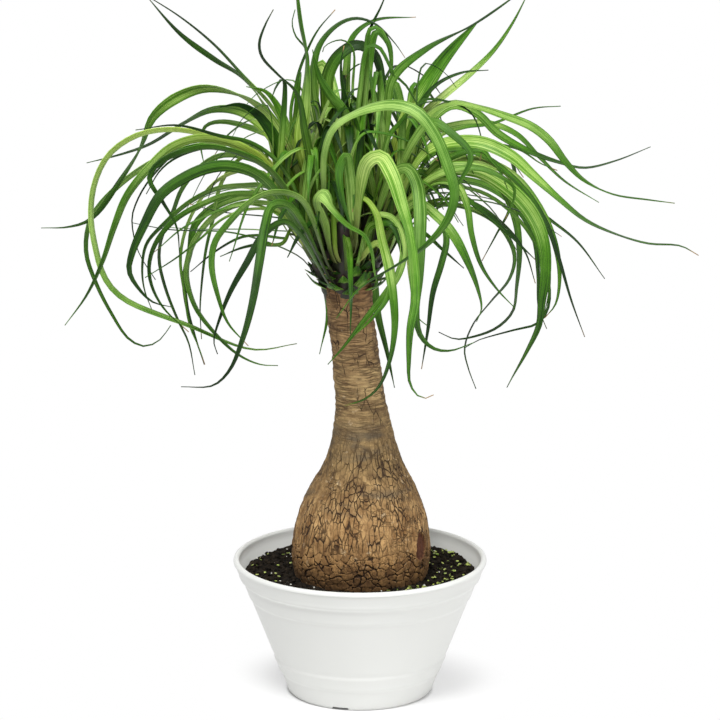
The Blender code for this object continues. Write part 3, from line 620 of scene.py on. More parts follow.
# Each leaf: its head, its width in mm, how far its end stands behind the pot's axis in cm, the turns
# of its blade in degrees (90 shows its face and 0 its edge), and its route as (across, up) in cm. A
# route is drawn on an upright board through the axis, and moves along its sight line to its depth.
LEAVES = (
    ("left", 10, 5, (80, 70, 10, 75, 10, 60, 20), (-5.9, 47), (-7.5, 49.8), (-9.6, 51.4), (-12.8, 52.1),
     (-15.3, 51.2), (-17.2, 49.6), (-18.2, 47.2), (-19.8, 44.6), (-22.4, 41.1), (-24.3, 40.4),
     (-26.6, 40.3)),
    ("left", 8, 4, (40, 30, 35, 50, 35), (-7.6, 46), (-12, 47.9), (-15.5, 48.6), (-18.5, 48.1),
     (-20.8, 46.5), (-22, 44.2), (-22.4, 41.5), (-22.1, 38.8), (-21.3, 36), (-19.8, 34.3), (-14.4, 32),
     (-9, 29.9), (-5.3, 30.4)),
    ("left", 7, 10, (30, 40, 40, 50), (-8.5, 46.9), (-12.5, 47.4), (-16.5, 46.3), (-20, 44),
     (-22.4, 41.2), (-22.9, 38.3), (-22.1, 35.6), (-20.9, 33.1), (-19.4, 30.8), (-18.1, 30.2),
     (-16.9, 30.7), (-15.9, 32)),
    ("left", 9, -3, (60, 50, 50, 30), (-7.5, 45.4), (-10, 47.2), (-12.8, 47.9), (-15.5, 47.2),
     (-17.6, 45.3), (-19.4, 43), (-20.5, 40.4), (-21.5, 37.5), (-22.9, 34.6), (-24.8, 32)),
    ("left", 8, -9, (50, 40, 30, 50, 30), (-7.5, 45.2), (-12, 47.1), (-14.6, 46.8), (-16.8, 45.7),
     (-17.5, 44.5), (-16.4, 42.5), (-15.3, 40.4), (-15.1, 38)),
    ("left", 10, -11, (30, 40, 80, 85, 20), (-8, 44.4), (-10.5, 45.5), (-12.6, 45.4), (-14.9, 44.4),
     (-16.6, 43.1), (-18, 40.6), (-19.1, 38), (-19.3, 36.6), (-18.5, 35.1), (-17.4, 34), (-15.6, 33.5)),
    ("left", 6, 6, (30, 40, 40, 30), (-7.5, 43.7), (-9.8, 43.9), (-12, 43.6), (-14.2, 42.5),
     (-16.4, 40.6), (-17.8, 39), (-18.2, 37.2), (-18.1, 35.2), (-17.4, 33.1)),
    ("left", 6, -5, (40, 50, 50, 40), (-7, 42.6), (-10.5, 43.2), (-13, 42.4), (-15.3, 41.1),
     (-16.9, 39.3), (-17.6, 37.4), (-17.5, 35.6), (-16.5, 33.5), (-14.4, 31.4)),
    ("left", 6, 13, (30, 50, 30, 60), (-7, 45), (-9.8, 46.4), (-11.8, 46.4), (-13.6, 45.2),
     (-14.9, 43.5), (-15.6, 41.7), (-16.6, 39.4), (-16.8, 37.6), (-16.3, 35.2), (-15.3, 32.5),
     (-14.4, 30.5), (-13.9, 27.7)),
    ("front", 8, -14, (70, 60, 30, 60, 40), (-5, 42.8), (-7.3, 43.3), (-9, 42.6), (-10.8, 40.9),
     (-12.1, 39.1), (-12.4, 37.2), (-11.9, 34.5), (-11.1, 32.2), (-9.4, 30.2)),
    ("front", 8, -18, (60, 80, 80, 60, 20), (-6, 42.2), (-7.3, 42.2), (-7.9, 40.5), (-8.4, 37.5),
     (-9, 34), (-9.8, 31), (-11, 28.1), (-12.4, 26.8), (-15.1, 26.7)),
    ("front", 7, -14, (60, 70, 70, 40), (-6.2, 40.8), (-8, 39.8), (-9.5, 37.3), (-10.8, 35),
     (-11.7, 32.8), (-12.3, 30.6), (-12, 29.5)),
    ("left", 7, 14, (20, 30, 80, 60, 60), (-6.6, 42.9), (-9.2, 43.1), (-12, 42.2), (-13.8, 40.5),
     (-14.2, 38.4), (-14.7, 36), (-14.5, 33.5), (-13.9, 31.2), (-13.1, 28.6)),
    ("left", 7, 3, (30, 40, 40, 40), (-6.5, 42), (-9.5, 42.4), (-12, 41.4), (-13.9, 39), (-14.5, 36.5),
     (-13.9, 33.8), (-12.6, 31.8), (-10.3, 29.5), (-8.4, 28.6), (-6.9, 28.5)),
    ("left", 8, 9, (60, 70, 0, 60, 20), (-6, 47.5), (-7.6, 50.3), (-9.8, 53.1), (-12, 54.5),
     (-14.8, 56.6), (-17.8, 60)),
    ("left", 5, 8, (60, 30, 20), (-5.6, 47.5), (-7.4, 50.7), (-9.7, 53.2), (-12, 55.7), (-14.8, 58),
     (-18.3, 60.2)),
    ("left", 8, -4, (80, 70, 10, 50), (-4.6, 48.5), (-5.2, 51.6), (-6.8, 53.2), (-8.1, 54.7),
     (-8.3, 55.8), (-7.8, 57.3), (-7.1, 58.6)),
    ("left", 11, -2, (80, 85, 10, 60), (-4.9, 47.5), (-4.6, 50.5), (-4.4, 53.2), (-4.5, 55.2),
     (-4.9, 57.5), (-5.3, 61.5)),
    ("left", 10, 11, (80, 85, 20, 30), (-6.4, 46.6), (-8.1, 49), (-10, 50.2), (-12.3, 50.3),
     (-14.6, 49.2), (-17.5, 47.4), (-20, 46.5), (-22.7, 45.8)),
    ("back", 9, 15, (60, 50, 40), (-4.6, 46.5), (-7, 48), (-11.3, 49.3), (-12.8, 48.9), (-13.2, 47.5),
     (-12.9, 45.5)),
    ("front", 10, -15, (60, 50, 30, 85, 70, 20, 30), (-3, 46.6), (-2.2, 48.8), (-0.8, 49.8), (1, 50.5),
     (3, 50.7), (4.7, 50.1), (6.2, 48.2), (7.3, 45.6), (7.9, 43.2), (7.3, 41), (5.6, 38.9), (3, 37.1),
     (0, 35.2), (-2, 32.6)),
    ("front", 12, -11, (80, 85, 30, 20, 40), (-3, 40.6), (-3.6, 42.6), (-3.2, 43.2), (-2.3, 42),
     (-1, 40.6), (0.4, 39.7), (1, 38.3), (1.2, 36.6), (1.4, 35.7)),
    ("front", 5, -14, (80, 80), (-1.2, 39.6), (-0.9, 38.4), (-0.8, 36.2), (-0.75, 34), (-0.8, 31.2)),
    ("front", 9, -9, (80, 85, 70), (-0.9, 45.1), (-1.2, 46.4), (-1.7, 45.3), (-1.6, 43.5), (-1.2, 41.8),
     (-0.6, 40.1)),
    ("front", 8, -13, (60, 80, 80, 40, 30), (-0.9, 42.2), (0.3, 42.8), (1.3, 41.6), (1.8, 39.4),
     (2.4, 36.9), (2.8, 34.2), (2.9, 31.8), (2.5, 29), (1.6, 26.7), (0.4, 25.6), (-1.3, 25)),
    ("front", 8, -9, (60, 80, 60, 50), (1.3, 41.3), (2.6, 41.2), (3.4, 39.9), (3.6, 38), (3.2, 36.4),
     (2.2, 34.8), (0.4, 32.5), (-1.4, 30.1), (-2.7, 28.6)),
    ("front", 12, -23, (80, 85, 85, 40, 70, 20), (0.6, 45.8), (1.7, 46.3), (2.6, 44.9), (3.4, 42.4),
     (4.1, 39.8), (4.5, 36.9), (4.6, 34), (4.2, 31.6), (4.1, 29), (4.2, 27), (4.9, 25.9), (5.6, 25.7),
     (6.2, 26)),
    ("right", 11, -13, (80, 85, 85, 60, 20), (2.6, 44.8), (3.9, 45.4), (4.7, 44.2), (5, 42), (5, 39),
     (4.9, 36), (4.7, 33.2), (5.1, 31.1), (6.2, 30), (7.6, 29.8), (9.6, 30.5)),
    ("right", 8, -10.5, (60, 80, 80, 50), (4.5, 47.8), (6, 49.3), (7.6, 48.3), (9.2, 46.5), (8.5, 44.6),
     (7.2, 43), (6.4, 42.1)),
    ("right", 7, -8, (30, 60, 60, 40), (4.4, 42), (5.6, 42), (6.8, 40.9), (7.2, 39.3), (6.8, 37.3),
     (6.1, 34.8), (5.7, 31.6), (5.2, 28.2)),
    ("right", 10, -10, (30, 60, 70, 20), (4.6, 42.4), (6.4, 41.3), (7.8, 39.7), (9, 37.4), (9.9, 35),
     (10.2, 33.4), (9.8, 32.3)),
    ("right", 7, -3.5, (40, 40, 40), (4.8, 45), (7, 44), (9.5, 42.3), (12, 40.2), (14.7, 37.6)),
    ("right", 6, 5, (30, 40, 40, 10, 40), (4.9, 41.8), (7.5, 42.3), (10, 41.6), (11.8, 40.3), (12.9, 38),
     (12.5, 36), (11, 34.1), (9.5, 32.1), (8.8, 30), (9.1, 28.4), (9.8, 26.5)),
    ("right", 7, -5, (30, 60, 50, 30), (6, 44.2), (8, 44), (8.9, 42.2), (9.3, 39.8), (10.1, 37.2),
     (11.4, 35.2), (13, 33.5)),
    ("right", 8, 9, (30, 60, 60, 20, 50), (6, 45), (9, 45.2), (11.5, 44), (12.8, 41.6), (13.3, 38.4),
     (13.1, 35.3), (12.8, 33.2), (11.5, 31.8), (9.5, 31), (8, 30.8), (6.6, 31.4)),
    ("right", 13, -2, (50, 60, 80, 50, 30), (6.4, 44.9), (9.5, 45.2), (12, 43.9), (14.1, 41.8),
     (15.2, 39.4), (15.5, 36.6), (15.2, 34), (15, 32), (14, 29.7), (12.9, 27.6), (12.4, 26.6)),
    ("right", 9, 4, (40, 50, 60, 50), (6.5, 45.6), (9.8, 46), (12.6, 44.8), (14.8, 42.2), (16.2, 39.2),
     (16.7, 36.4), (16.4, 33.8), (15.5, 32.6)),
    ("right", 8, 13, (30, 40, 60, 40), (6.2, 44), (9.5, 44.2), (12.5, 42.6), (14.4, 39.9), (14.9, 36.5),
     (15, 33.5), (15.7, 31.7)),
    ("right", 6, 0, (40, 40, 50, 30), (6, 46.5), (9.5, 46.7), (13, 44.3), (15.4, 41), (16.6, 37.8),
     (17.7, 34.2), (18.9, 31)),
    ("right", 11, -8, (40, 50, 80, 30, 10, 30), (5.6, 46.8), (9.6, 47.6), (12.5, 46.4), (14.3, 44.8),
     (16.5, 42.8), (18.7, 41), (21, 39.9), (24, 39), (26.8, 38.8), (28.3, 38)),
    ("right", 6, 7, (40, 40, 30), (6.4, 45.3), (9.6, 45), (13, 43), (16, 40.9), (18.2, 39.1),
     (20.5, 36)),
    ("right", 8, -2, (60, 30, 30, 85, 10, 40), (5.4, 49.6), (7.5, 50.9), (9.5, 50.6), (12, 49.8),
     (14.2, 48.9), (15.7, 47.7), (17.1, 45.9), (18.6, 44.4), (21, 43.2), (24, 42.7), (26.2, 42.4)),
    ("right", 8, 3, (60, 50, 60, 20, 20), (5.4, 48.6), (7.6, 50.6), (9.6, 50), (11.4, 48.3), (14, 46.8),
     (16.4, 45.9), (18.6, 45.4), (21.2, 46), (24.1, 47.2)),
    ("right", 8, 10, (60, 50, 40, 20), (5.6, 48), (8, 49), (10.8, 49.1), (13, 48.2), (14.9, 46.3),
     (17, 44.3), (19.9, 42.5)),
    ("right", 6, 17, (30, 30, 60), (6, 45.8), (9.5, 47.4), (12.2, 46.6), (12.9, 44.6), (12.5, 42),
     (11.4, 39.8), (10.2, 37.5)),
    ("right", 15, 4, (80, 85, 80), (4, 49.5), (5.4, 52.2), (7, 54.6), (9.3, 57.2), (9.9, 57.8)),
    ("right", 8, -4, (20, 30, 70, 10, 50), (2.2, 49), (2.7, 52.9), (5.5, 55.4), (9.2, 57.3),
     (11.2, 58.6), (13.4, 60.2)),
    ("right", 7, 6, (40, 60, 30), (4.6, 49.2), (6.4, 51), (9, 53.2), (11, 55.2), (12.5, 57.4),
     (13.9, 60.2)),
    ("back", 8, 7, (70, 70), (0.3, 41.5), (1.1, 36.5), (1.5, 33), (2.2, 30), (2.9, 26.6)),
    ("back", 9, 4, (60, 60, 30, 10), (-3.2, 48), (-3.9, 52.5), (-3.4, 55.6), (-1.8, 57.4), (-0.3, 57.9),
     (1.3, 57.4), (2.8, 55.9), (3.7, 54.6)),
    ("back", 12, 5, (60, 70, 60, 80), (-2.6, 49), (-2.7, 53), (-1.7, 54.9), (-0.2, 55.7), (1.2, 54.9),
     (1.8, 53), (1.9, 50.8), (1.8, 48.8)),
    ("back", 9, 4, (80, 60, 85), (0.6, 49), (0.7, 54), (1.4, 56.8), (2.3, 55.9), (2.6, 54), (2.4, 51.8)),
    ("back", 8, 8, (80, 60, 20), (-1, 49), (-1.1, 53.5), (-0.6, 56.3), (1.2, 57.7), (4.6, 58)),
    ("back", 12, 22, (80, 85, 60, 60, 80), (-1.4, 48), (-2.2, 51.3), (-3, 53.8), (-3.5, 53.9), (-4, 51),
     (-4.4, 45), (-3.8, 39), (-2.7, 33.3), (-3.4, 29.5)),
    ("back", 11, 23, (70, 80, 60, 70), (0.8, 48), (1.6, 51), (2.6, 52.5), (3.4, 50), (3.9, 45.5),
     (4, 41), (3.6, 37)),
)


def leaf_paint(name, deep, mid, pale, shine):
    """Green paint for one face of a blade: lengthwise ribs, a paler keel that is a painted highlight along
    its fold, a tone for each leaf that painted shade darkens towards the hanging end, a sheath that is
    yellow on young leaves and dark on old ones, partly its own colour and partly painted shade deep in
    the crown, and a dry tip."""
    paint = Finish(name, shine, 0.15)
    across = paint.part_of_place(0, uv=True)
    along = paint.part_of_place(1, uv=True)
    ribs = paint.noise(1, 3, (15, 1.6, 1), uv=True, rough=0.7).between(0.38, 0.62)
    fine_ribs = paint.noise(1, 3, (48, 3, 1), uv=True, rough=0.7).between(0.3, 0.7)
    # The keel: a paler line down the middle of the blade, a painted highlight along its fold.
    keel_highlight = 1 - paint.node("Math", {"operation": "ABSOLUTE"}, {0: across - 0.5}).between(0.0, 0.09)
    patches = paint.noise(30, 4)
    tone = paint.attribute("tone")
    young = paint.attribute("young")
    level = tone * 1.0 + ribs * 0.42 + fine_ribs * 0.2 + patches * 0.6 + keel_highlight * 0.12 - 0.66
    # Darker towards the far end of the leaf: painted shade on the hanging part, which gets less light.
    tone_and_painted_end_shade = (level - along.between(0.25, 0.9) * 0.5).ramp([(0.0, deep), (0.45, mid), (1.0, pale)])
    fresh = (1 - along.between(0.05, 0.6)) * 0.85
    yellowed = (ribs * 0.7 + fine_ribs * 0.3).mix((0.26, 0.4, 0.02), (0.56, 0.68, 0.09))
    greened = (young * fresh).mix(tone_and_painted_end_shade, yellowed)
    # The sheath: yellow on young leaves; on old ones nearly black, partly its own dark colour and partly
    # painted shade deep in the crown.
    sheath = young.mix((0.02, 0.028, 0.009), (0.5, 0.55, 0.16))
    based = ((1 - along.between(0.03, 0.22)) * 0.92).mix(greened, sheath)
    dried = along.between(0.965, 0.99) * paint.attribute("dry").between(0.6, 0.8)
    paint.feed("Base Color", dried.mix(based, (0.3, 0.19, 0.08)))
    paint.feed("Roughness", fine_ribs * 0.2 + (shine - 0.1))
    paint.bump(ribs + fine_ribs * 0.3, 0.00005)
    return paint


leaf_face = leaf_paint("leaf upper face", (0.004, 0.024, 0.001), (0.065, 0.205, 0.007), (0.54, 0.7, 0.21),
                       0.36)
# The underside's greens are darker than the face's: painted shade on the side turned away from the lamps.
shaded_leaf_back = leaf_paint("leaf underside", (0.004, 0.022, 0.001), (0.05, 0.155, 0.008), (0.36, 0.55, 0.14),
                       0.45)


def on_sight_line(across, up, depth):
    """The point that covers (across, up) on the board as the camera sees it, at that depth."""
    drawn = Vector((across * CM, 0, up * CM))
    return EYE + (drawn - EYE) * ((depth - EYE.y) / -EYE.y)


def first_lift(leaf):
    """How far a leaf leans out of its head, as an angle."""
    foot, top = head_axis(leaf[0])
    start = on_sight_line(*leaf[4], leaf[2] * CM * 0.35)
    return (start - (foot + top) / 2).angle(top - foot)


def leaf_shares():
    """Where each leaf sits along its head: those that lean out most are the oldest and sit lowest."""
    shares = {}
    for name in HEADS:
        order = sorted((n for n, leaf in enumerate(LEAVES) if leaf[0] == name),
                       key=lambda n: -first_lift(LEAVES[n]))
        for rank, n in enumerate(order):
            shares[n] = LOWEST_LEAF + (HIGHEST_LEAF - LOWEST_LEAF) * rank / max(1, len(order) - 1)
    return shares


def leaf_route(leaf, share):
    """The route from the seat on the head through the leaf's points, and the way out of the head."""
    head, _, depth, _, *drawn = leaf
    foot, top = head_axis(head)
    seat_centre = foot + (top - foot) * share
    axis = (top - foot).normalized()
    steps, last = [0.0], Vector((seat_centre.x, seat_centre.z)) / CM
    for across, up in drawn:
        steps.append(steps[-1] + (Vector((across, up)) - last).length)
        last = Vector((across, up))
    route = []
    for (across, up), step in zip(drawn, steps[1:]):
        reach = 1 - (1 - step / steps[-1]) ** 2
        route.append(on_sight_line(across, up, seat_centre.y + (depth * CM - seat_centre.y) * reach))
    out = route[0] - seat_centre
    out = (out - axis * out.dot(axis)).normalized()
    seat = seat_centre + out * (head_radius(share) + CAD_GAP + 0.5 * CAD_THICKNESS)
    lean = (route[0] - seat).normalized()
    return [seat, seat + (out * 0.3 + axis * 0.5 + lean).normalized() * 1.2 * CM] + route, out


def spline(points, count):
    """Evenly spaced points on a centripetal curve through the given ones."""
    ends = [2 * points[0] - points[1]] + list(points) + [2 * points[-1] - points[-2]]
    fine = []
    for i in range(1, len(ends) - 2):
        p0, p1, p2, p3 = ends[i - 1:i + 3]
        t1 = (p1 - p0).length ** 0.5
        t2 = t1 + (p2 - p1).length ** 0.5
        t3 = t2 + (p3 - p2).length ** 0.5
        for step in range(12):
            t = t1 + (t2 - t1) * step / 12
            a1 = p0 * ((t1 - t) / t1) + p1 * (t / t1)
            a2 = p1 * ((t2 - t) / (t2 - t1)) + p2 * ((t - t1) / (t2 - t1))
            a3 = p2 * ((t3 - t) / (t3 - t2)) + p3 * ((t - t2) / (t3 - t2))
            b1 = a1 * ((t2 - t) / t2) + a2 * (t / t2)
            b2 = a2 * ((t3 - t) / (t3 - t1)) + a3 * ((t - t1) / (t3 - t1))
            fine.append(b1 * ((t2 - t) / (t2 - t1)) + b2 * ((t - t1) / (t2 - t1)))
    fine.append(points[-1])
    lengths = [0.0]
    for a, b in zip(fine, fine[1:]):
        lengths.append(lengths[-1] + (b - a).length)
    even, j = [], 0
    for i in range(count + 1):
        want = lengths[-1] * i / count
        while j < len(lengths) - 2 and lengths[j + 1] < want:
            j += 1
        gap = max(1e-9, lengths[j + 1] - lengths[j])
        even.append(fine[j].lerp(fine[j + 1], min(1.0, (want - lengths[j]) / gap)))
    return even


def leaf_width(width, s):
    """Full width along the leaf: narrow where it leaves the head, then full, then a long taper."""
    grown = BASE_WIDTH_SHARE + (1 - BASE_WIDTH_SHARE) * min(1.0, s / FULL_WIDTH_FROM)
    if s <= TAPER_START:
        return width * grown
    return width * grown * (1 - ((s - TAPER_START) / (1 - TAPER_START)) ** TAPER_POWER)


def blade_normal(centre, along, turn):
    """The way that a blade faces there when it is turned that far from edge on."""
    sight = (centre - EYE).normalized()
    sight = (sight - along * sight.dot(along)).normalized()
    return along.cross(sight) * math.cos(turn) - sight * math.sin(turn)


def leaf_frames(turns, centres, out):
    """(across the blade, towards its upper side) at each centre. The base lies flat on its head. With
    no turns given, the blade keeps its upper side up."""
    up, frames = -out, []
    most = math.radians(TWIST_LIMIT) * (centres[1] - centres[0]).length / CM
    for i, centre in enumerate(centres):
        along = (centres[min(i + 1, len(centres) - 1)] - centres[max(i - 1, 0)]).normalized()
        up = (up - along * up.dot(along)).normalized()
        if i and turns:
            place = i / (len(centres) - 1) * (len(turns) - 1)
            k = min(int(place), len(turns) - 2)
            turn = math.radians(turns[k] + (turns[k + 1] - turns[k]) * (place - k))
            wanted = blade_normal(centre, along, turn)
            wanted = wanted if wanted.dot(up) > 0 else -wanted
            twist = min(up.angle(wanted), most)
            side = along.cross(up)
            up = up * math.cos(twist) + side * math.sin(twist if wanted.dot(side) > 0 else -twist)
        frames.append((along.cross(up), up))
    return frames


def blade(name, centres, frames, width, clasp, tone, young=0.0, dry=1.0, ribs=LEAF_RIBS):
    """A strap leaf: a grid laid along the centres, clasping its head at the base, then given thickness.
    Its tone, youth and dryness are attributes, from 0 to 1."""
    steps = len(centres) - 1
    clear_selection()
    bpy.ops.mesh.primitive_grid_add(x_subdivisions=ribs, y_subdivisions=steps, size=1)
    leaf = bpy.context.object
    leaf.name = leaf.data.name = name
    seed = Vector((len(name) * 3.1 + width * 900, tone * 11, centres[-1].x * 40))
    for vert in leaf.data.vertices:
        side = vert.co.x * 2
        i = min(steps, max(0, round((vert.co.y + 0.5) * steps)))
        s = i / steps
        across, up = frames[i]
        half = max(LEAST_HALF_WIDTH, leaf_width(width, s) / 2)
        wrap = 1 - rise(s, 0.02, 0.12)
        half *= 1 + 0.5 * wrap
        ripple = 0.05 * noise.noise(seed + Vector((side * 0.6, s * 9, 0))) * (1 - wrap)
        channel = LEAF_FOLD * 2 * half * (abs(side) * 0.7 + ripple)
        angle = side * half / clasp
        flat = across * half * side + up * channel
        clasped = across * clasp * math.sin(angle) + up * clasp * (1 - math.cos(angle))
        vert.co = centres[i] + flat.lerp(clasped, wrap)
    for key, value in (("tone", tone), ("young", young), ("dry", dry)):
        values = [value] * len(leaf.data.vertices)
        leaf.data.attributes.new(key, "FLOAT", "POINT").data.foreach_set("value", values)
    leaf.data.materials.append(leaf_face.material)
    leaf.data.materials.append(shaded_leaf_back.material)
    thick = leaf.modifiers.new("thickness", "SOLIDIFY")
    thick.thickness = LEAF_THICKNESS
    thick.offset = -1
    thick.material_offset = 1
    apply_modifiers(leaf)
    bpy.ops.object.shade_smooth()
    return leaf


# How light each leaf's green is, from 0 to 9, and the leaves that are still yellow at their hearts.
LEAF_TONES = "6967546657435755476878576776747456567536575756586547676"
YOUNG_LEAVES = (2, 4, 15, 18, 19, 20, 46)

chance = random.Random(7)
shares = leaf_shares()
for n, leaf in enumerate(LEAVES):
    route, out = leaf_route(leaf, shares[n])
    centres = spline(route, LEAF_STEPS)
    turns = leaf[3]
    if leaf[2] <= -7 and len(turns) > 3:  # the leaves in front rise nearly edge on, then open out
        turns = (10, 35) + turns[2:]
    piece = blade(f"strap_leaf_{n + 1:02d}", centres, leaf_frames(turns, centres, out), leaf[1] * MM,
                  head_radius(shares[n]) + 1 * MM, int(LEAF_TONES[n]) / 9,
                  0.9 if n + 1 in YOUNG_LEAVES else shares[n] ** 2 * 0.6 * chance.random(), chance.random())
    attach(piece, "root")
    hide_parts(f"leaf_{n + 1:02d}")


# ---- Slender leaves -----------------------------------------------------------------------------
# Narrow leaves between the broad ones, drawn the same way: head, width in mm, depth of the end in
# cm, turns and route. They are trim: no solid stands for them.

SLENDER = (
    ("left", 4, 6, (60, 30, 50), (-4.4, 50), (-4.4, 55.2), (-5.3, 56.4), (-5.6, 57.5), (-5.35, 58.6)),
    ("left", 4, 2, (50, 40, 60), (-5.7, 49.3), (-5.3, 52.3), (-4.85, 54), (-3.55, 56.8), (-2.05, 58.6)),
    ("back", 5, 8, (60, 60), (0.3, 50), (0.5, 55.8), (1, 57.4), (1.65, 58.7), (2.4, 60.6)),
    ("back", 3, 3, (50, 50), (-0.6, 52), (-0.6, 55.4), (-1.5, 56.1), (-2.9, 55.6), (-3.1, 55.1)),
    ("back", 10, -2, (80, 80, 70), (-1.3, 49.9), (-2.6, 51.7), (-3.2, 52.7), (-3.65, 54), (-3.9, 55.3)),
    ("back", 6, -1, (60, 60), (-1.05, 50.1), (-1.5, 52.7), (-1.55, 54.2), (-1.3, 55.6)),
    ("back", 7, -2, (80, 70, 40), (0.4, 52), (0.9, 57.1), (1.65, 57), (2.1, 56.3), (2.5, 55.2),
     (2.3, 52.9)),
    ("back", 5, -3, (40, 50, 40), (0, 52), (0.7, 55.6), (1.55, 55.5), (2.85, 53.2), (3.8, 52.3),
     (5.6, 49)),
    ("front", 3, -6, (60, 40), (-0.8, 46), (0.3, 48.3), (2.1, 48.3), (4.5, 47.4), (6.5, 46)),
    ("right", 5, -3, (60, 60), (2.35, 48), (3.3, 49.2), (4.25, 50.3), (5.1, 50.8), (6.4, 51)),
    ("left", 4, 9, (40, 50, 40), (-7.6, 45.6), (-9.2, 46.5), (-10.3, 45.9), (-11.6, 44), (-12.2, 41.3),
     (-12.9, 38.3), (-13.3, 35), (-13.4, 33.3), (-13.3, 30.8)),
    ("left", 4, 7, (40, 40, 60), (-8, 45), (-11.5, 44.6), (-14, 41.5), (-15, 38), (-14.65, 34.4),
     (-14.3, 32), (-13.5, 30), (-13.05, 28.6)),
    ("left", 4, -6, (40, 50), (-6.5, 39), (-8.6, 38.9), (-10, 38.6), (-11.7, 37.9)),
    ("left", 3, -3, (40, 40), (-6, 39.5), (-8.6, 39.7), (-10, 39.5), (-12, 38.4), (-14.2, 36.6)),
    ("left", 4, -3, (40, 60, 40), (-6.5, 45.5), (-9, 47.5), (-11.6, 48.1), (-15.2, 49), (-18.6, 48.6)),
    ("left", 12, 1, (80, 85, 85, 60), (-6, 44.8), (-6.85, 47.5), (-7.6, 48.8), (-8.6, 50), (-10, 50.7),
     (-11.6, 50.5)),
    ("left", 10, 3, (80, 85, 85, 60), (-5.4, 45), (-5.9, 48), (-6.6, 50.2), (-7.8, 51.8), (-9.4, 52.2)),
    ("left", 4, -2, (30, 40, 50), (-8, 45.8), (-10.7, 46.9), (-12.1, 47.2), (-15, 46.4), (-16.6, 45.2),
     (-17.8, 43.2)),
    ("left", 3, -5, (40, 40), (-6.8, 41.6), (-9.3, 41.9), (-11.6, 41), (-13, 39.7), (-15.2, 37.9),
     (-18, 36.1)),
    ("left", 2, 6, (40, 60), (-8, 45.5), (-14, 47.3), (-17.4, 44.5), (-18.8, 42), (-19, 40.8),
     (-18.5, 38.3), (-17.1, 35.9)),
    ("front", 6, -12, (60, 70), (1.5, 39), (2.6, 37), (2.3, 34.4), (0.85, 32.4), (-0.5, 31.1)),
    ("front", 6, -7, (60, 80, 50), (0.8, 40.4), (1.9, 40.7), (2.6, 40.6), (3.3, 39), (3.45, 38),
     (3.2, 36.8)),
    ("left", 3, -6, (60, 50), (-4.3, 42.8), (-3.8, 44.5), (-2.8, 45.6), (-2.6, 45), (-2.7, 42.4)),
    ("right", 3, -1, (50, 40), (4.6, 49), (5, 51), (7.5, 50.9), (9.2, 50), (10.1, 47.5), (9.95, 46)),
    ("right", 5, 2, (50, 60), (4.8, 50.4), (6.35, 52.4), (8.45, 53.4), (10.6, 53.6)),
    ("right", 4, 6, (50, 40), (6.2, 47.8), (8.6, 48.8), (10.85, 49.1), (14.3, 50.4), (16.6, 50.6)),
    ("right", 4, 1, (40, 40), (6.4, 46), (10, 47.4), (13.1, 47), (15, 45.8), (16.4, 45.2)),
    ("right", 5, 1, (50, 60), (6.4, 45), (10, 46.2), (13.4, 43.6), (15.4, 39.6), (15.9, 35.6),
     (15.5, 33)),
    ("right", 4, 6, (40, 50), (6, 43.6), (10, 43.4), (13.6, 40.6), (15.6, 36.6), (15.8, 33.6),
     (15, 32.2), (13, 31.6), (11.2, 31.1), (9.95, 30.7), (8.75, 30)),
    ("right", 4, 3, (40, 40), (5.5, 42.4), (9, 42.6), (12, 40.6), (13.8, 38.3), (14.7, 35.6)),
    ("right", 3, -6, (60, 40), (3.6, 40), (4.2, 36), (4.8, 32.8), (5.9, 31.8)),
    ("right", 4, -4, (50, 50), (4.8, 40.2), (7, 38.4), (8.7, 36.9)),
    ("right", 4, 2, (40, 40), (6, 46.6), (9, 48), (10.45, 47.7), (12.3, 46.4), (13.6, 44.6)),
    ("right", 7, -3, (60, 50), (6.4, 45.6), (10.1, 46.9), (10.85, 46.1), (11.6, 45.2), (12.3, 43.6)),
    ("right", 6, -5, (70, 60), (6, 44.6), (9.8, 45.4), (12.7, 43.9), (12.85, 43), (12.1, 41.1)),
)


def joined(name, pieces):
    """Joins loose objects into one."""
    take(pieces[0])
    for piece in pieces:
        piece.select_set(True)
    bpy.ops.object.join()
    made = bpy.context.object
    made.name = made.data.name = name
    return made


def spray(name, leaves):
    """Joins loose leaves into one piece."""
    made = joined(name, leaves)
    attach(made, "root")


for head in HEADS:
    slender = []
    for n, leaf in enumerate(SLENDER):
        if leaf[0] == head:
            share = chance.uniform(0.4, 0.9)
            route, out = leaf_route(leaf, share)
            centres = spline(route, 40)
            slender.append(blade(f"slender_{n}", centres, leaf_frames(leaf[3], centres, out), leaf[1] * MM,
                                 head_radius(share) + 1 * MM, chance.uniform(0.35, 0.9),
                                 1.0 if leaf[1] >= 10 else 0.5 * chance.random(), chance.random(), 4))
    spray(f"{head}_slender_leaves", slender)


# ---- Old leaf bases -----------------------------------------------------------------------------
# Short broad stubs, brown at their tips, where the oldest leaves were cut away round the foot of the
# crown.

def stub(n, foot, turn, length, width, lean):
    """One stub that stands out from the stem at that turn round it."""
    out = Vector((math.cos(turn), math.sin(turn), 0))
    seat = foot + out * 1.7 * CM
    tip = seat + (out * lean + Vector((0, 0, 1))).normalized() * length
    middle = seat.lerp(tip, 0.5) + out * 0.12 * length
    centres = spline([seat - Vector((0, 0, 0.4 * CM)), seat, middle, tip], 10)
    return blade(f"stub_{n}", centres, leaf_frames((), centres, out), width, 1.9 * CM,
                 chance.uniform(0.5, 1.0), chance.uniform(0.0, 0.35), 1.0, 6)


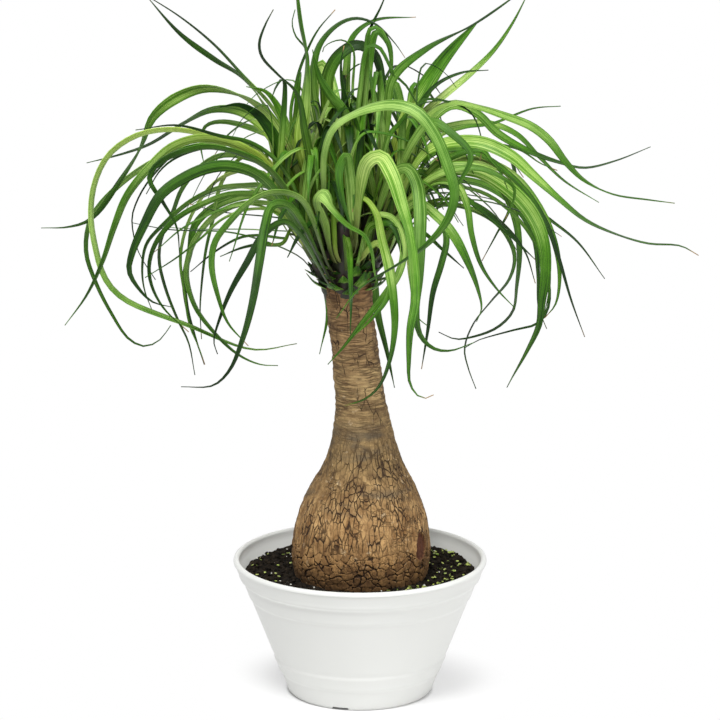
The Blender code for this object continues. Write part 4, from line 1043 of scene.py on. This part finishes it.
GOLDEN_TURN = math.radians(137.5)  # from one leaf to the next, as leaves grow round a stem
OLD_BASES = 46
LOWEST_BASE = 34.7  # in centimetres
stubs = []
for n in range(OLD_BASES):
    height = (LOWEST_BASE + 3.0 * (n / OLD_BASES)) * CM
    middle = Vector((trunk_section(min(37.0, height / CM))[0] * CM - 0.03 * CM, 0, height))
    stubs.append(stub(n, middle, n * GOLDEN_TURN, chance.uniform(1.3, 2.9) * CM,
                      chance.uniform(10, 16) * MM, chance.uniform(0.7, 2.0)))
spray("old_leaf_bases", stubs)


# ---- Leaves that fill the crown -----------------------------------------------------------------
# Between the named leaves each head carries many more, set round it in a spiral: upright and short
# at the top, arching further out lower down.

def filler_route(head, share, turn, reach, peak, end):
    """A leaf that leaves its head at that turn round it, arches over a peak and hangs to its end."""
    foot, top = head_axis(head)
    axis = (top - foot).normalized()
    side = axis.orthogonal().normalized()
    out = side * math.cos(turn) + axis.cross(side) * math.sin(turn)
    seat = foot + (top - foot) * share + out * (head_radius(share) + 0.4 * MM)
    level = Vector((out.x, out.y, 0))
    level = level.normalized() if level.length > 0.1 else Vector((0, 1, 0))
    if level.y < -0.35:  # the front of the crown is open, so these stay short
        reach *= 0.5
        end = max(end, peak - 3.5 * CM)
    crest = seat + level * reach * 0.42
    crest.z = peak
    tip = seat + level * reach
    tip.z = end
    shoulder = seat + (axis + out * 0.35) * 1.6 * CM
    bend = crest.lerp(tip, 0.55) + Vector((0, 0, (peak - end) * 0.16)) + level * reach * 0.06
    return [seat, shoulder, crest, bend, tip], out


FILLERS = {"left": 27, "right": 28, "back": 32, "front": 9}
for head, count in FILLERS.items():
    fillers = []
    for i in range(count):
        share = 0.3 + 0.72 * (i + 0.5) / count
        low = 1 - (i + 0.5) / count  # near 1 for the lowest and oldest leaf
        turn = i * GOLDEN_TURN + chance.uniform(-0.25, 0.25)
        reach = (3.5 + 10 * low + chance.uniform(-1.5, 4)) * CM
        foot, top = head_axis(head)
        seat_height = foot.z + (top.z - foot.z) * share
        peak = seat_height + (3.5 + 5 * (1 - low) + chance.uniform(-1.5, 3)) * CM
        end = max(chance.uniform(37.5, 42) * CM, peak - (1 + 9 * low + chance.uniform(0, 3)) * CM)
        route, out = filler_route(head, share, turn, reach, peak, end)
        centres = spline(route, 26)
        fillers.append(blade(f"filler_{head}_{i}", centres, leaf_frames((), centres, out),
                             chance.uniform(4.5, 9.5) * MM, head_radius(min(1, share)) + 1 * MM,
                             chance.uniform(0.3, 0.95) - 0.1 * low, chance.random() * (1 - low) * 0.9,
                             chance.random(), 4))
    spray(f"{head}_head_leaves", fillers)


# ---- Soil ---------------------------------------------------------------------------------------
# Dark peaty mix, level but crumbly, a little below the rim, with white perlite grains and a scatter
# of tiny seedlings.

SOIL_LEVEL = 10.3 * CM
SOIL_RADIUS = wall_radius(SOIL_LEVEL) - WALL - 0.6 * MM
SOIL_START = 4.2 * CM  # from the axis, inside the trunk
SOIL_BOTTOM = 6.8 * MM

soil_finish = Finish("potting mix", 0.95, 0.1)
crumbs = soil_finish.noise(260, 6).between(0.3, 0.75)
soil_finish.feed("Base Color", crumbs.mix((0.004, 0.0035, 0.003), (0.035, 0.026, 0.017)))
soil_finish.bump(crumbs + soil_finish.noise(900, 3), 0.0012)


def soil_height(x, y):
    """Height of the crumbly surface, which climbs a little where it meets the wall."""
    place = Vector((x, y, 0)) / CM
    lumps = 1.6 * noise.noise(place * 0.55) + 1.6 * noise.noise(place * 1.6) + 1.5 * noise.noise(place * 4.5)
    return SOIL_LEVEL + (0.3 + lumps) * MM + rise(math.hypot(x, y), 0.082, 0.096) * 1.2 * MM


rings, sides = 90, 260
points = []
for j in range(rings + 1):
    radius = SOIL_START + (SOIL_RADIUS - SOIL_START) * j / rings
    for angle in around(sides):
        x, y = radius * math.cos(angle), radius * math.sin(angle)
        points.append((x, y, soil_height(x, y)))
faces = [(a, d, c, b) for a, b, c, d in ring_faces(rings, sides)]
outer, lower = rings * sides, len(points)
reach = wall_radius(SOIL_BOTTOM) - WALL - 1.6 * MM
points += [(math.cos(angle) * reach, math.sin(angle) * reach, SOIL_BOTTOM) for angle in around(sides)]
faces += [(outer + i, lower + i, lower + (i + 1) % sides, outer + (i + 1) % sides) for i in range(sides)]
faces += [tuple(reversed(range(lower, lower + sides))), tuple(reversed(range(sides)))]
soil = new_piece("potting_mix", points, faces, soil_finish)
smooth(soil, 70)
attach(soil, "root")
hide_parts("soil")


def on_soil(low=6.0, high=9.6):
    """A chance place on the soil between the trunk and the wall, in metres."""
    distance, angle = chance.uniform(low, high) * CM, chance.uniform(0, 2 * math.pi)
    x, y = distance * math.cos(angle), distance * math.sin(angle)
    return Vector((x, y, soil_height(x, y)))


def scatter(name, count, make, finish):
    """Joins many small grains into one piece."""
    made = joined(name, [make(i) for i in range(count)])
    made.data.materials.clear()
    made.data.materials.append(finish.material)
    bpy.ops.object.transform_apply(location=True, rotation=True, scale=True)
    bpy.ops.object.shade_smooth()
    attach(made, "root")


GRAIN_FLATNESS = 0.8


def pebble(size):
    """A small ball to shape into a grain or a seed leaf."""
    clear_selection()
    bpy.ops.mesh.primitive_ico_sphere_add(subdivisions=2, radius=size)
    return bpy.context.object


def grain(size, sink):
    """A lumpy grain on the soil, sunk into it by a share of its size."""
    place = on_soil()
    made = pebble(size)
    seed = Vector((place.x * 900, place.y * 900, 0))
    squash = Vector((1, chance.uniform(0.65, 1), GRAIN_FLATNESS))
    turn = Matrix.Rotation(chance.uniform(0, 6.3), 3, "Z")
    lift = Vector((0, 0, size * GRAIN_FLATNESS * (1 - sink * 2)))
    for vert in made.data.vertices:
        bumpy = 1 + 0.8 * noise.noise(vert.co / size * 1.3 + seed)
        vert.co = place + turn @ (vert.co * bumpy * squash) + lift
    return made


perlite_finish = Finish("perlite", 0.9)
perlite_finish.feed("Base Color", perlite_finish.noise(500, 3).mix((0.62, 0.6, 0.52), (0.85, 0.84, 0.78)))
scatter("soil_crumbs", 800, lambda i: grain(chance.uniform(0.5, 2.0) * MM, 0.2), soil_finish)
scatter("perlite_grains", 60, lambda i: grain(chance.uniform(0.4, 1.0) * MM, 0.1), perlite_finish)


def seedling(index):
    """A seed leaf: a small cupped oval a few millimetres above the soil."""
    place = on_soil(6.3, 9.5)
    if index % 3 and place.x < 0:  # most of them came up on the right
        place.x = -place.x
        place.z = soil_height(place.x, place.y)
    size = chance.uniform(0.8, 1.6) * MM
    made = pebble(size)
    tilt = Matrix.Rotation(chance.uniform(0, 6.3), 3, "Z")
    tilt = tilt @ Matrix.Rotation(chance.uniform(-0.7, 0.7), 3, "X")
    lift = chance.uniform(0.8, 2.6) * MM
    for vert in made.data.vertices:
        cup = (vert.co.x ** 2 + vert.co.y ** 2) / size * 0.35
        flat = Vector((vert.co.x * 1.25, vert.co.y * 0.8, vert.co.z * 0.18 + cup))
        vert.co = place + Vector((0, 0, lift)) + tilt @ flat
    return made


seedling_finish = Finish("seedling", 0.5)
seedling_tone = seedling_finish.noise(420, 2).between(0.35, 0.65)
seedling_finish.feed("Base Color", seedling_tone.mix((0.16, 0.25, 0.03), (0.48, 0.52, 0.12)))
scatter("seedlings", 220, seedling, seedling_finish)
